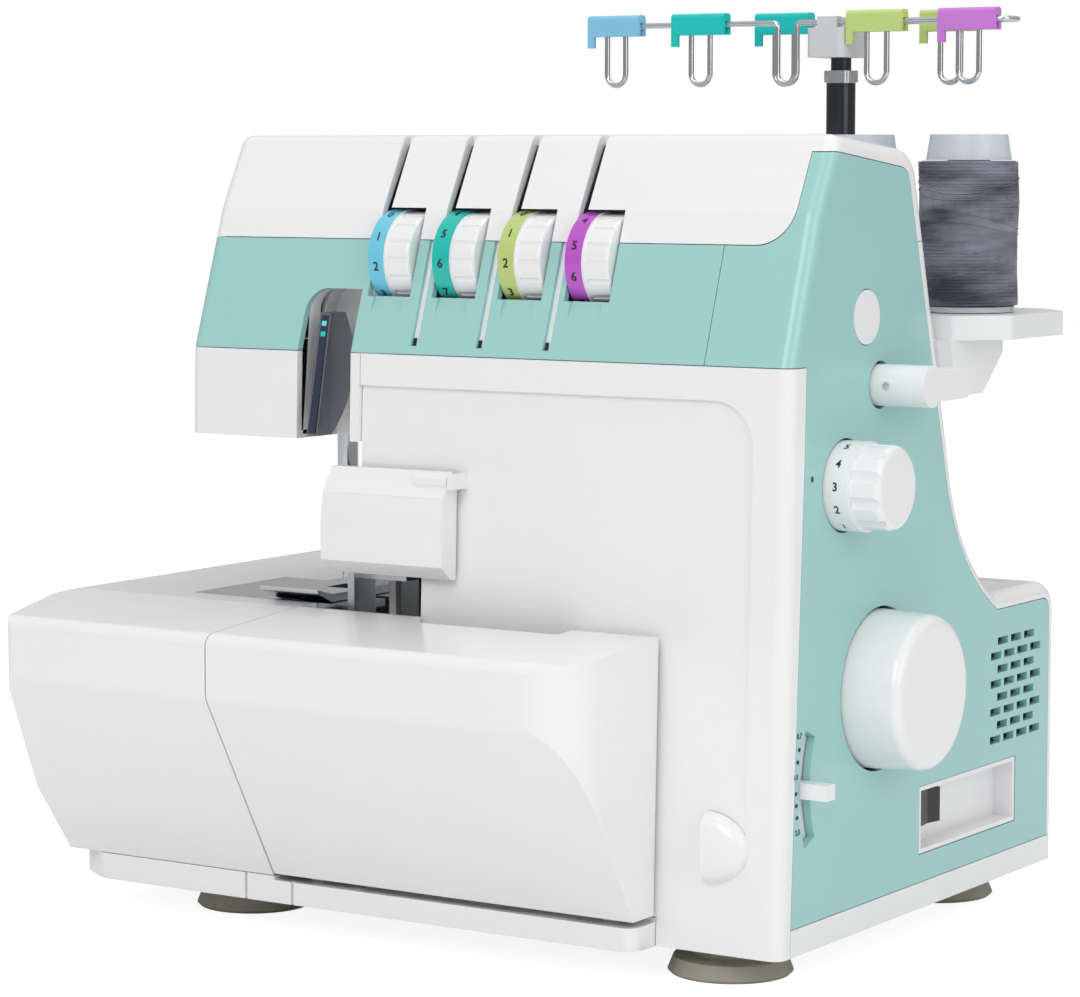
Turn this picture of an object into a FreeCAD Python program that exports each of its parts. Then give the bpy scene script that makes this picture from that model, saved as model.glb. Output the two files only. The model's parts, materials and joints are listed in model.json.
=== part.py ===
"""Household overlock sewing machine with a telescopic thread stand, in millimetres.

X runs to the right along the arm, Y to the back and Z up.  The origin is on the floor, in the
middle of the machine's outer box.
"""
import FreeCAD, Part
import Sketcher
import math
import os

SIZES = {
    # overall
    "half_width": 169.5,
    "half_depth": 138.5,
    "seam": 0.3,
    "wall": 3.0,
    "run_gap": 0.05,
    "rub_gap": 0.4,
    # side outline of the housing, from the front to the back
    "right_face": 147.5,
    "column_left": -33.5,
    "arm_left": -113.5,
    "base_bottom": 12.0,
    "base_top": 22.0,
    "arm_bottom": 184.0,
    "front_foot": -83.5,
    "band_low": 217.0,
    "front_band_low": -77.5,
    "band_high": 258.5,
    "front_band_high": -63.5,
    "fold_rise": 11.0,
    "front_fold": -59.8,
    "top_front_height": 297.0,
    "front_top": -45.5,
    "top_front_round": 5.0,
    "top_rear_height": 291.0,
    "rear_top": 14.1,
    "top_rear_round": 14.0,
    "rear_neck": 47.4,
    "neck_height": 170.0,
    "hump_front": 86.0,
    "hump_height": 123.0,
    "hump_round": 12.0,
    "shelf_sink": 1.2,
    "shelf_margin": 9.0,
    "edge_round": 5.0,
    # seams between the housing mouldings
    "trim": 1.5,
    "corner_seam_low": -75.5,
    "corner_seam_high": -67.5,
    "corner_break": 186.0,
    "corner_seam_top": -66.6,
    "panel_seam": 113.0,
    "cap_seam": 139.0,
    "cap_round": 14.0,
    "panel_depth": -30.0,
    # sunk field of the front wall and knife notch
    "field_right": 133.0,
    "field_low": 26.0,
    "field_high": 205.0,
    "field_depth": 1.6,
    "field_round": 16.0,
    "notch_right": -5.5,
    "notch_low": 105.0,
    "notch_high": 170.0,
    # base and feet
    "base_left": -158.0,
    "base_lip": -98.5,
    "base_plate": 3.0,
    "base_slit_left": -73.0,
    "base_slit_right": -51.5,
    "base_slit": 1.2,
    "bed_rear": 100.0,
    "lip_left": -142.0,
    "lip_top": 20.5,
    "foot_radius": 22.5,
    "foot_neck": 14.0,
    "foot_rim": 6.0,
    "foot_chamfer": 1.0,
    "foot_taper": 2.0,
    "foot_right": 113.0,
    "foot_left": -100.0,
    "foot_front": -57.0,
    "foot_rear": 104.0,
    "foot_left_rear": 76.0,
    # bed: cloth plate cover, looper cover, fixed rear block
    "bed_top": 121.5,
    "cover_wall": 2.5,
    "cover_front_top": 117.0,
    "cover_round": 5.0,
    "band_front_low": 94.0,
    "crease_round": 8.0,
    "cover_foot": -98.5,
    "cover_bottom": 23.0,
    "cover_seam": -59.3,
    "cover_right": 97.5,
    "cover_corner": 20.0,
    "cover_wall_gap": 1.5,
    "bed_taper": 15.0,
    "bed_shoulder": -88.5,
    "bed_foot_left": -158.0,
    "cloth_rear": 18.5,
    "grip_left": -4.0,
    "grip_right": 62.0,
    "grip_depth": 9.0,
    "grip_sink": 5.0,
    "hinge_y": -94.5,
    "hinge_z": 27.5,
    "hinge_radius": 2.5,
    "barrel_radius": 4.4,
    "rod_left": -57.5,
    "rod_right": 93.0,
    "lug_width": 5.0,
    "lug_front": 3.8,
    "lug_left": -48.0,
    "lug_right": 80.0,
    "barrel_left": -38.0,
    "barrel_right": 52.0,
    "barrel_length": 18.0,
    # needle plate and free arm
    "plate_left": -118.5,
    "plate_right": -45.0,
    "plate_front": -70.0,
    "plate_rear": -11.5,
    "plate_thick": 2.5,
    "free_arm_left": -121.0,
    "free_arm_front": -75.0,
    "free_arm_thick": 3.5,
    "needle_x": -64.3,
    "needle_y": -43.5,
    "needle_pitch": 5.0,
    "needle_slot_half": 6.0,
    "needle_slot_wide": 3.4,
    "feed_left": -83.0,
    "feed_right": -73.0,
    "feed_front": -64.0,
    "feed_rear": -18.0,
    # chassis
    "floor_thick": 5.0,
    "chassis_left": -105.0,
    "chassis_right": 130.0,
    "chassis_front": -60.0,
    "chassis_rear": 105.0,
    "upright_thick": 8.0,
    "upright_left": -28.0,
    "upright_right": 112.0,
    "upright_front": -45.0,
    "upright_rear": 20.0,
    "beam_left": -95.0,
    "beam_front": -8.0,
    "beam_rear": 12.0,
    "beam_low": 240.0,
    "beam_high": 256.0,
    "head_left": -80.0,
    "head_right": -50.0,
    "head_front": -50.8,
    "head_plate": 10.0,
    "head_low": 190.0,
    "rib_front": -60.0,
    "rib_low": 118.0,
    "rib_high": 168.0,
    "looper_bracket_left": -90.0,
    "looper_bracket_right": -36.0,
    "looper_bracket_front": -20.0,
    "looper_bracket_thick": 6.0,
    "looper_bracket_high": 84.0,
    # main shaft, handwheel, motor and belt
    "wheel_y": -10.5,
    "wheel_z": 98.5,
    "wheel_radius": 29.0,
    "wheel_inner": 143.6,
    "wheel_taper": 1.2,
    "wheel_round": 4.0,
    "wheel_gap": 0.9,
    "shaft_radius": 6.0,
    "shaft_left": -29.5,
    "shaft_right": 152.0,
    "bearing_radius": 11.0,
    "bearing_flange": 14.0,
    "bearing_lip": 2.0,
    "pulley_left": 124.5,
    "pulley_width": 12.0,
    "pulley_radius": 24.0,
    "pulley_rim": 1.5,
    "groove_depth": 3.0,
    "motor_y": 78.0,
    "motor_z": 66.0,
    "motor_radius": 27.0,
    "motor_left": 20.0,
    "motor_right": 108.0,
    "motor_nose": 13.0,
    "motor_shaft_radius": 3.0,
    "motor_pulley_radius": 8.0,
    "cradle_width": 8.0,
    "cradle_left": 34.0,
    "cradle_right": 88.0,
    "belt_thick": 1.6,
    "belt_width": 6.0,
    # controls on the right side
    "dial_y": -38.5,
    "dial_z": 174.0,
    "dial_radius": 16.0,
    "dial_grip_radius": 15.0,
    "dial_sink": 3.3,
    "dial_rim": 9.5,
    "dial_grip": 11.5,
    "dial_stem": 4.0,
    "dial_gap": 0.7,
    "flute_radius": 3.2,
    "flute_out": 17.0,
    "flute_count": 10,
    "plug_y": -23.5,
    "plug_z": 232.5,
    "plug_radius": 9.7,
    "plug_rim": 12.0,
    "plug_thick": 2.0,
    "lifter_y": -12.5,
    "lifter_z": 208.0,
    "lifter_hub": 7.5,
    "lifter_hole": 8.6,
    "lifter_stand": 12.0,
    "lifter_blade": 9.0,
    "lifter_reach": 18.0,
    "lifter_tip": 5.6,
    "lifter_end": 5.0,
    "screw_radius": 1.6,
    "screw_depth": 2.5,
    "lifter_shaft": 3.0,
    "lifter_shaft_left": -58.0,
    "finger_width": 4.0,
    "finger_reach": 9.0,
    "feed_lever_y": -19.0,
    "feed_lever_z": 70.0,
    "feed_slot_in": 43.5,
    "feed_slot_out": 51.5,
    "feed_slot_half": 24.0,
    "feed_shield_in": 42.0,
    "feed_shield_out": 53.0,
    "feed_shield_half": 43.0,
    "feed_arm_half": 4.0,
    "feed_arm_left": 138.6,
    "feed_arm_thick": 2.6,
    "feed_tab_thick": 5.5,
    "feed_tab_reach": 158.0,
    "feed_tab_in": 44.5,
    "feed_tab_out": 50.5,
    "feed_pin": 3.0,
    "feed_boss": 7.0,
    "switch_front": 22.0,
    "switch_rear": 103.0,
    "switch_low": 32.5,
    "switch_high": 57.5,
    "switch_depth": 10.0,
    "switch_wall": 1.6,
    "rocker_front": 24.5,
    "rocker_width": 14.0,
    "rocker_low": 42.5,
    "rocker_high": 55.4,
    "rocker_stand": 7.0,
    "rocker_pin": 1.5,
    "rocker_under": 1.6,
    "rocker_root": 2.4,
    "rocker_margin": 4.2,
    "rocker_dip": 0.6,
    "inlet_x": 100.0,
    "inlet_z": 48.0,
    "inlet_half": 14.0,
    "inlet_rise": 10.0,
    "inlet_depth": 16.0,
    "inlet_pin": 2.0,
    "vent_front": 80.5,
    "vent_low": 65.0,
    "vent_pitch": 5.4,
    "vent_slot": 2.9,
    "vent_long": 9.0,
    "vent_step": 11.6,
    "vent_rows": 8,
    "vent_columns": 4,
    # tension dials and thread slits
    "tension_y": -53.3,
    "tension_z": 251.2,
    "tension_radius": 18.0,
    "tension_count": 4,
    "tension_first": -34.5,
    "tension_pitch": 28.7,
    "tension_width": 17.5,
    "tension_band": 7.0,
    "tension_grip": 17.2,
    "tension_flute": 1.2,
    "tension_flute_count": 16,
    "knob_round": 1.2,
    "tension_axle": 2.5,
    "axle_left": -44.0,
    "axle_right": 78.0,
    "axle_lug": 4.0,
    "disc_radius": 8.5,
    "disc_thick": 1.2,
    "disc_start": 19.0,
    "window_side": 0.8,
    "window_low": 237.5,
    "window_high": 270.0,
    "scoop_tall": 6.5,
    "scoop_depth": 2.4,
    "scoop_side": 2.0,
    "slit_offset": -1.0,
    "slit_width": 3.6,
    "groove_offset": 22.6,
    "groove_width": 3.0,
    # recess at the arm's left end, take-up lever
    "recess_left": -62.5,
    "recess_right": -38.0,
    "recess_high": 240.0,
    "recess_rear": -53.0,
    "recess_round": 9.0,
    "lining": 1.6,
    "take_up_left": -56.5,
    "take_up_width": 5.0,
    "take_up_y": -60.0,
    "take_up_z": 212.0,
    "take_up_pin": 2.5,
    "take_up_sheet": 1.2,
    "take_up_lean": 6.4,
    "take_up_hook": 9.0,
    "take_up_curve": 56.0,
    "take_up_low_curve": 44.0,
    # needle bar, presser bar and foot
    "bar_radius": 4.0,
    "needle_bar_low": 158.0,
    "needle_bar_high": 262.0,
    "clamp_half": 6.0,
    "clamp_round": 2.0,
    "clamp_low": 150.0,
    "clamp_high": 163.0,
    "needle_tip": 128.0,
    "needle_radius": 0.9,
    "needle_point": 0.15,
    "needle_taper": 6.0,
    "presser_y": -20.0,
    "presser_low": 132.0,
    "presser_high": 262.0,
    "ledge_low": 213.5,
    "ledge_high": 219.0,
    "ledge_rear": -3.5,
    "foot_left_edge": -82.0,
    "foot_right_edge": -55.0,
    "foot_tip": -76.0,
    "foot_heel": -13.0,
    "foot_thick": 3.0,
    "toe_rise": 4.0,
    "toe_length": 9.0,
    "ankle_half": 6.5,
    "ankle_high": 140.0,
    # loopers, feed dog, upper knife
    "looper_pin": 3.0,
    "looper_hub": 6.0,
    "lower_looper_x": -66.0,
    "lower_looper_z": 62.0,
    "upper_looper_x": -47.0,
    "upper_looper_z": 60.0,
    "looper_thick": 2.2,
    "lower_looper_y": -40.5,
    "upper_looper_y": -48.5,
    "looper_reach": 44.0,
    "looper_arm_half": 3.0,
    "looper_beak": 17.0,
    "tooth_pitch": 2.2,
    "tooth_rise": 1.1,
    "tooth_lean": 0.55,
    "tooth_margin": 1.6,
    "feed_bar_low": 110.0,
    "feed_bar_high": 119.6,
    "feed_leg": 8.0,
    "knife_left": -42.5,
    "knife_thick": 3.0,
    "knife_front": -74.0,
    "knife_low": 112.0,
    "knife_high": 146.0,
    "knife_arm_low": 132.0,
    "knife_slide_right": -20.0,
    # knife guard
    "guard_left": -43.5,
    "guard_right": 10.5,
    "guard_low": 136.0,
    "guard_high": 175.0,
    "guard_bulge": 9.0,
    "guard_lean": 5.0,
    "guard_curve": 87.5,
    "guard_wall": 2.0,
    "guard_pin_y": -83.6,
    "guard_pin_z": 172.0,
    "guard_pin": 1.5,
    "guard_barrel": 2.8,
    "guard_barrel_left": -4.0,
    "guard_lug": 3.0,
    # lamp
    "lamp_left": -105.0,
    "lamp_right": -85.0,
    "lamp_front": -60.0,
    "lamp_rear": -40.0,
    "lamp_thick": 3.0,
    # thread stand
    "bracket_left": 0.0,
    "bracket_right": 152.0,
    "bracket_low": 201.0,
    "bracket_rear": 78.0,
    "bracket_lean": 16.75,
    "tray_low": 221.6,
    "tray_high": 230.6,
    "tray_left": -27.0,
    "tray_right": 167.5,
    "tray_front": 37.0,
    "tray_rear": 114.0,
    "tray_corner": 16.0,
    "tray_skin": 2.5,
    "spool_first": 140.4,
    "spool_pitch": 47.7,
    "spool_y": 71.0,
    "pin_radius": 3.0,
    "pin_high": 284.0,
    "spool_flange": 17.5,
    "spool_barrel": 8.0,
    "spool_base": 2.0,
    "spool_high": 297.0,
    "collar_low": 287.5,
    "collar_radius": 16.0,
    "thread_radius": 17.2,
    "strand_radius": 0.95,
    "strand_gap": 0.15,
    "grey_turns": 21,
    "white_turns": 9,
    "rod_x": 70.4,
    "rod_y": 100.0,
    "tube_radius": 5.7,
    "tube_bore": 4.0,
    "tube_low": 201.0,
    "tube_high": 322.0,
    "ring_radius": 6.6,
    "ring_low": 317.5,
    "inner_low": 208.0,
    "inner_high": 334.0,
    "guide_block": 17.0,
    "guide_block_front": 86.0,
    "guide_block_rear": 107.0,
    "guide_block_low": 327.0,
    "guide_block_high": 338.5,
    "wire_radius": 1.1,
    "wire_z": 340.6,
    "wire_front": 90.0,
    "wire_rear": 102.0,
    "wire_left": -38.7,
    "wire_right": 146.3,
    "wire_rear_left": 36.0,
    "loop_low": 317.0,
    "loop_half": 4.3,
    "loop_bend": 2.0,
    "hairpin_bend": 4.0,
    "loop_count": 5,
    "loop_first": -26.7,
    "loop_pitch": 39.3,
    "rear_loop_left": 44.0,
    "rear_loop_right": 116.8,
    "clip_long": 24.0,
    "clip_wall": 1.7,
    "clip_high": 345.0,
    "clip_low": 336.6,
    "clip_tab": 3.0,
    "clip_tab_low": 332.0,
}


class Size:
    """A length that knows its value and the sheet expression behind it."""

    def __init__(self, value, text):
        self.value = value
        self.text = text

    def __add__(self, other):
        return joined(self, "+", other)

    def __radd__(self, other):
        return joined(other, "+", self)

    def __sub__(self, other):
        return joined(self, "-", other)

    def __rsub__(self, other):
        return joined(other, "-", self)

    def __mul__(self, other):
        return joined(self, "*", other)

    def __rmul__(self, other):
        return joined(other, "*", self)

    def __truediv__(self, other):
        return joined(self, "/", other)

    def __neg__(self):
        return Size(-self.value, f"(-{self.text})")


def number(size):
    """Plain value of a size or a number."""
    return size.value if isinstance(size, Size) else float(size)


def words(size):
    """Expression text of a size or a number."""
    return size.text if isinstance(size, Size) else f"({float(size)!r})"


def joined(first, sign, second):
    """Size that comes from two others by one arithmetic sign."""
    left, right = number(first), number(second)
    value = {"+": left + right, "-": left - right, "*": left * right,
             "/": left / right if right else 0.0}[sign]
    return Size(value, f"({words(first)} {sign} {words(second)})")


class Sheet:
    """The spreadsheet of driving sizes, read by name."""

    def __init__(self, document, rows):
        self.cells = document.addObject("Spreadsheet::Sheet", "Sizes")
        self.rows = rows
        for line, (alias, value) in enumerate(rows.items(), start=1):
            self.cells.set(f"A{line}", alias)
            self.cells.set(f"B{line}", str(value))
            self.cells.setAlias(f"B{line}", alias)

    def __getattr__(self, alias):
        return Size(float(self.rows[alias]), f"Sizes.{alias}")


doc = FreeCAD.newDocument("overlock_machine")
S = Sheet(doc, SIZES)
doc.recompute()
NODES = []


def bind(target, path, size):
    """Ties one property of an object to the sheet."""
    target.setExpression(path, words(size))


def place(target, x=0, y=0, z=0):
    """Ties an object's position to the sheet."""
    for axis, size in (("x", x), ("y", y), ("z", z)):
        bind(target, f"Placement.Base.{axis}", size)
    return target


def node(target, label):
    """Names an object as a finished sub-part."""
    target.Label = label
    NODES.append(target)
    return target


PLANES = {"XY": "XY_Plane", "XZ": "XZ_Plane", "YZ": "YZ_Plane"}


def new_body(name):
    """Empty PartDesign body."""
    return doc.addObject("PartDesign::Body", name)


def sketch_in(body, plane, start):
    """Sketch on one of the body's origin planes, moved along that plane's axis to start."""
    sketch = body.newObject("Sketcher::SketchObject", body.Name + "_sketch")
    origin = [f for f in body.Origin.OriginFeatures if f.Role == PLANES[plane]][0]
    sketch.AttachmentSupport = [(origin, "")]
    sketch.MapMode = "FlatFace"
    bind(sketch, "AttachmentOffset.Base.z", -start if plane == "XZ" else start)
    return sketch


def pin_point(sketch, geometry, position, u, v):
    """Holds one point of a sketch at named coordinates."""
    for kind, size in (("DistanceX", u), ("DistanceY", v)):
        index = sketch.addConstraint(
            Sketcher.Constraint(kind, -1, 1, geometry, position, number(size)))
        bind(sketch, f"Constraints[{index}]", size)


def set_radius(sketch, geometry, radius):
    """Holds the radius of an arc or a circle."""
    index = sketch.addConstraint(Sketcher.Constraint("Radius", geometry, number(radius)))
    bind(sketch, f"Constraints[{index}]", radius)


def draw_circle(sketch, u, v, radius):
    """Circle by centre and radius."""
    centre = FreeCAD.Vector(number(u), number(v), 0)
    circle = Part.Circle(centre, FreeCAD.Vector(0, 0, 1), number(radius))
    index = sketch.addGeometry(circle, False)
    pin_point(sketch, index, 3, u, v)
    set_radius(sketch, index, radius)


def corner_arc(before, corner, after, radius):
    """Where a rounded corner leaves and meets its sides, its centre, and which way it turns."""
    back = (before - corner).normalize()
    ahead = (after - corner).normalize()
    half = back.getAngle(ahead) / 2
    reach = radius / math.tan(half)
    centre = corner + (back + ahead).normalize() * (radius / math.sin(half))
    left_turn = (corner - before).cross(after - corner).z > 0
    return corner + back * reach, corner + ahead * reach, centre, left_turn


def arc_between(start, end, centre, radius, left_turn):
    """Arc of a circle from start to end; a right turn is stored from end to start."""
    first, last = (start, end) if left_turn else (end, start)
    from_angle = math.atan2(first.y - centre.y, first.x - centre.x)
    to_angle = math.atan2(last.y - centre.y, last.x - centre.x)
    circle = Part.Circle(centre, FreeCAD.Vector(0, 0, 1), radius)
    return Part.ArcOfCircle(circle, from_angle, to_angle)


def draw_loop(sketch, corners):
    """Closed outline through named corners.

    A corner is (u, v), or (u, v, round) for a rounded one, or (u, v, None, curve) where the side
    that arrives there is an arc of that radius, positive where it turns left.
    """
    points = [FreeCAD.Vector(number(c[0]), number(c[1]), 0) for c in corners]
    total = len(corners)
    rounds = [c[2] if len(c) > 2 else None for c in corners]
    curves = [c[3] if len(c) > 3 else None for c in corners]
    leave, meet = list(points), list(points)
    bends = {}
    for i in range(total):
        if rounds[i] is not None:
            bend = corner_arc(points[i - 1], points[i], points[(i + 1) % total], number(rounds[i]))
            meet[i], leave[i] = bend[0], bend[1]
            bends[i] = bend
    sides = []
    for i in range(total):
        j = (i + 1) % total
        if curves[j] is None:
            side = sketch.addGeometry(Part.LineSegment(leave[i], meet[j]), False)
            sides.append((side, 1, 2))
            continue
        radius = abs(number(curves[j]))
        left_turn = number(curves[j]) > 0
        chord = points[j] - points[i]
        rise = math.sqrt(radius ** 2 - (chord.Length / 2) ** 2)
        normal = FreeCAD.Vector(-chord.y, chord.x, 0).normalize() * (1 if left_turn else -1)
        centre = points[i] + chord * 0.5 + normal * rise
        arc = arc_between(points[i], points[j], centre, radius, left_turn)
        side = sketch.addGeometry(arc, False)
        set_radius(sketch, side, curves[j] if left_turn else -curves[j])
        sides.append((side, 1, 2) if left_turn else (side, 2, 1))
    for i in range(total):
        into, out = sides[i - 1], sides[i]
        if i not in bends:
            sketch.addConstraint(
                Sketcher.Constraint("Coincident", into[0], into[2], out[0], out[1]))
            pin_point(sketch, out[0], out[1], corners[i][0], corners[i][1])
            continue
        start, end, centre, left_turn = bends[i]
        arc = sketch.addGeometry(
            arc_between(start, end, centre, number(rounds[i]), left_turn), False)
        first, last = (1, 2) if left_turn else (2, 1)
        mark = sketch.addGeometry(Part.Point(points[i]), True)
        sketch.addConstraint([
            Sketcher.Constraint("Tangent", into[0], into[2], arc, first),
            Sketcher.Constraint("Tangent", arc, last, out[0], out[1]),
            Sketcher.Constraint("PointOnObject", mark, 1, into[0]),
            Sketcher.Constraint("PointOnObject", mark, 1, out[0])])
        set_radius(sketch, arc, rounds[i])
        pin_point(sketch, mark, 1, corners[i][0], corners[i][1])


def pad(name, plane, corners, start, end, holes=()):
    """Body with one outline, padded from start to end along the plane's axis."""
    body = new_body(name)
    sketch = sketch_in(body, plane, start)
    draw_loop(sketch, corners)
    for u, v, radius in holes:
        draw_circle(sketch, u, v, radius)
    feature = body.newObject("PartDesign::Pad", name + "_pad")
    feature.Profile = sketch
    feature.Reversed = plane == "XZ"
    bind(feature, "Length", end - start)
    return body


def round_edges(body, radius, chosen):
    """Fillet on the edges of the body's last shape that the test accepts."""
    doc.recompute()
    base = body.Tip
    names = [f"Edge{i}" for i, edge in enumerate(base.Shape.Edges, start=1) if chosen(edge)]
    fillet = body.newObject("PartDesign::Fillet", body.Name + "_fillet")
    fillet.Base = (base, names)
    bind(fillet, "Radius", radius)
    return body


def box(name, x, y, z):
    """Block between pairs of coordinates."""
    block = doc.addObject("Part::Box", name)
    bind(block, "Length", x[1] - x[0])
    bind(block, "Width", y[1] - y[0])
    bind(block, "Height", z[1] - z[0])
    return place(block, x[0], y[0], z[0])


def cut(name, base, *tools):
    """Base less every tool."""
    return two_sided("Part::Cut", name, base, union(name + "_tools", *tools))


def common(name, base, *tools):
    """What base shares with the tools together."""
    return two_sided("Part::Common", name, base, union(name + "_zone", *tools))


def two_sided(kind, name, base, tool):
    """Boolean of two objects."""
    result = doc.addObject(kind, name)
    result.Base = base
    result.Tool = tool
    return result


def union(name, *pieces):
    """One object out of one or more that touch."""
    if len(pieces) == 1:
        return pieces[0]
    result = doc.addObject("Part::MultiFuse", name)
    result.Shapes = list(pieces)
    return result


def on_plane(edge, axis, value):
    """True for an edge that lies in one plane across an axis."""
    return all(abs(getattr(v.Point, axis) - value) < 1e-4 for v in edge.Vertexes)


def revolve(name, corners, axis, y=0, z=0, x=0):
    """Body turned about its own X or Z axis from an outline of (along, radius) corners."""
    body = new_body(name)
    sketch = sketch_in(body, "XY" if axis == "X" else "XZ", 0)
    draw_loop(sketch, corners if axis == "X" else [(c[1], c[0]) + tuple(c[2:]) for c in corners])
    feature = body.newObject("PartDesign::Revolution", name + "_turn")
    feature.Profile = sketch
    feature.ReferenceAxis = (sketch, ["H_Axis" if axis == "X" else "V_Axis"])
    feature.Angle = 360
    return place(body, x, y, z)


def flute(body, count, distance, radius, start, end):
    """Round grooves cut along a body that turns about X, spread evenly around it."""
    doc.recompute()
    before = body.Tip.Shape.Volume
    sketch = sketch_in(body, "YZ", start)
    draw_circle(sketch, 0 * distance, distance, radius)
    groove = body.newObject("PartDesign::Pocket", body.Name + "_flute")
    groove.Profile = sketch
    groove.Reversed = True
    bind(groove, "Length", end - start)
    ring = body.newObject("PartDesign::PolarPattern", body.Name + "_flutes")
    ring.Originals = [groove]
    ring.Axis = ([f for f in body.Origin.OriginFeatures if f.Role == "X_Axis"][0], [""])
    ring.Angle = 360
    ring.Occurrences = int(number(count))
    body.Tip = ring
    doc.recompute()
    if body.Shape.Volume >= before:
        raise ValueError(body.Name + ": the flutes cut nothing")
    return body


TURNS = {"X": FreeCAD.Rotation(FreeCAD.Vector(0, 1, 0), 90),
         "Y": FreeCAD.Rotation(FreeCAD.Vector(1, 0, 0), -90),
         "Z": FreeCAD.Rotation()}


def rod(name, axis, centre, radius, start, end):
    """Cylinder along an axis; centre gives the two other coordinates in X, Y, Z order."""
    piece = doc.addObject("Part::Cylinder", name)
    bind(piece, "Radius", radius)
    bind(piece, "Height", end - start)
    piece.Placement = FreeCAD.Placement(FreeCAD.Vector(), TURNS[axis])
    where = list(centre)
    where.insert("XYZ".index(axis), start)
    return place(piece, *where)


def group(name, pieces):
    """Separate solids kept together as one object."""
    result = doc.addObject("Part::Compound", name)
    result.Links = list(pieces)
    return result


def square_root(size):
    """Square root of a size."""
    return Size(math.sqrt(size.value), f"sqrt({size.text})")


def steps(count):
    """Whole numbers below a count from the sheet."""
    return range(int(number(count)))


# Housing: one outer form, hollowed, then parted into its mouldings


def front_wall(height):
    """Y of the front wall's outer face at a height."""
    lean = (S.front_band_low - S.front_foot) / (S.band_low - S.base_bottom)
    return S.front_foot + lean * (height - S.base_bottom)


def front_band(height):
    """Y of the coloured band's outer face at a height."""
    lean = (S.front_band_high - S.front_band_low) / (S.band_high - S.band_low)
    return S.front_band_low + lean * (height - S.band_low)


def tangent_radius(start, corner, end):
    """Radius of the arc from corner to end that carries on from the line between start and corner."""
    along, rise = corner[0] - start[0], corner[1] - start[1]
    over, drop = end[0] - corner[0], end[1] - corner[1]
    line = square_root(along * along + rise * rise)
    return (over * over + drop * drop) * line / ((along * drop - rise * over) * 2)


def side_outline(inset, floor):
    """Outline of the housing seen from the right, moved inwards by inset."""
    back = S.half_depth - inset
    top = (S.rear_top - inset, S.top_rear_height - inset)
    neck = (S.rear_neck - inset, S.neck_height)
    hump = (S.hump_front, S.hump_height - inset)
    return [
        (S.front_foot + inset, floor),
        (S.front_band_low + inset, S.band_low),
        (S.front_band_high + inset, S.band_high),
        (S.front_fold + inset, S.band_high + S.fold_rise),
        (S.front_top + inset, S.top_front_height - inset, S.top_front_round),
        top + (S.top_rear_round - inset,),
        neck,
        hump + (None, tangent_radius(top, neck, hump)),
        (back, S.hump_height - inset, S.hump_round - inset),
        (back, floor),
    ]


WIDE_X = (S.arm_left - S.wall, S.right_face + S.wall)
WIDE_Y = (-S.half_depth - S.wall, S.half_depth + S.wall)
TALL_Z = (S.base_bottom - S.wall, S.top_front_height + S.wall)


def housing_shell():
    """Column and arm as one hollow form, open at the bottom."""
    outside = pad("outer_block", "YZ", side_outline(0 * S.wall, S.base_bottom),
                  S.arm_left, S.right_face)
    ends = (number(S.arm_left), number(S.right_face))
    round_edges(outside, S.edge_round,
                lambda e: any(on_plane(e, "x", end) for end in ends)
                and not on_plane(e, "z", number(S.base_bottom)))
    under = box("under_arm", (WIDE_X[0], S.column_left), WIDE_Y, (TALL_Z[0], S.arm_bottom))
    inside = pad("inner_block", "YZ", side_outline(S.wall, TALL_Z[0]),
                 S.arm_left + S.wall, S.right_face - S.wall)
    under_inside = box("under_arm_inside", (WIDE_X[0], S.column_left + S.wall), WIDE_Y,
                       (TALL_Z[0] - S.wall, S.arm_bottom + S.wall))
    hollow = cut("hollow", inside, under_inside)
    return cut("housing_shell", outside, under, hollow)


def side_zone(slack):
    """Part of space that the side panel takes up, grown by slack, less the top cover's corner."""
    inset = S.edge_round + S.trim
    top = S.top_front_height - inset + slack
    rear = S.half_depth - inset + slack
    rear_top = (S.rear_top - inset + slack, S.top_rear_height - inset + slack)
    neck = (S.rear_neck - inset + slack, S.neck_height)
    hump = (S.hump_front, S.hump_height - inset + slack)
    outline = [
        (S.corner_seam_low - slack, S.base_top - slack),
        (S.corner_seam_high - slack, S.corner_break),
        (S.corner_seam_top - slack, S.band_low - slack),
        (WIDE_Y[0], S.band_low - slack),
        (WIDE_Y[0], top),
        (S.front_top, top),
        rear_top + (S.top_rear_round - inset,),
        neck,
        hump + (None, tangent_radius(rear_top, neck, hump)),
        (rear, hump[1], S.hump_round - inset),
        (rear, S.base_top - slack),
    ]
    name = "side_zone" if number(slack) == 0 else "side_zone_wide"
    whole = pad(name, "YZ", outline, S.panel_seam - slack, WIDE_X[1])
    keep = S.seam - slack
    cap = pad(name + "_cap", "XZ", [
        (WIDE_X[0], S.band_high - keep),
        (S.cap_seam + keep, S.band_high - keep, S.cap_round),
        (S.cap_seam + keep, TALL_Z[1]),
        (WIDE_X[0], TALL_Z[1])], WIDE_Y[0], WIDE_Y[1])
    return cut(name + "_less_cap", whole, cap)


def front_zone():
    """Part of space that the front housing takes up: front wall, corner and column's left wall."""
    wall = pad("front_zone", "YZ", [
        (WIDE_Y[0], TALL_Z[0]),
        (S.corner_seam_low - S.seam, TALL_Z[0]),
        (S.corner_seam_low - S.seam, S.base_top),
        (S.corner_seam_high - S.seam, S.corner_break),
        (S.corner_seam_top - S.seam, S.band_low - S.seam),
        (WIDE_Y[0], S.band_low - S.seam)], S.column_left, WIDE_X[1])
    left = box("left_wall_zone", (S.column_left, S.column_left + S.wall),
               (S.corner_seam_low - S.wall, S.rear_neck - S.wall),
               (S.base_top + S.floor_thick + S.seam, S.arm_bottom))
    return union("front_zones", wall, left)


SHELL = housing_shell()
SIDE = side_zone(0 * S.seam)
SIDE_WIDE = side_zone(S.seam)


def tension_left(index):
    """Left end of one tension dial."""
    return S.tension_first + S.tension_pitch * index


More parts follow.
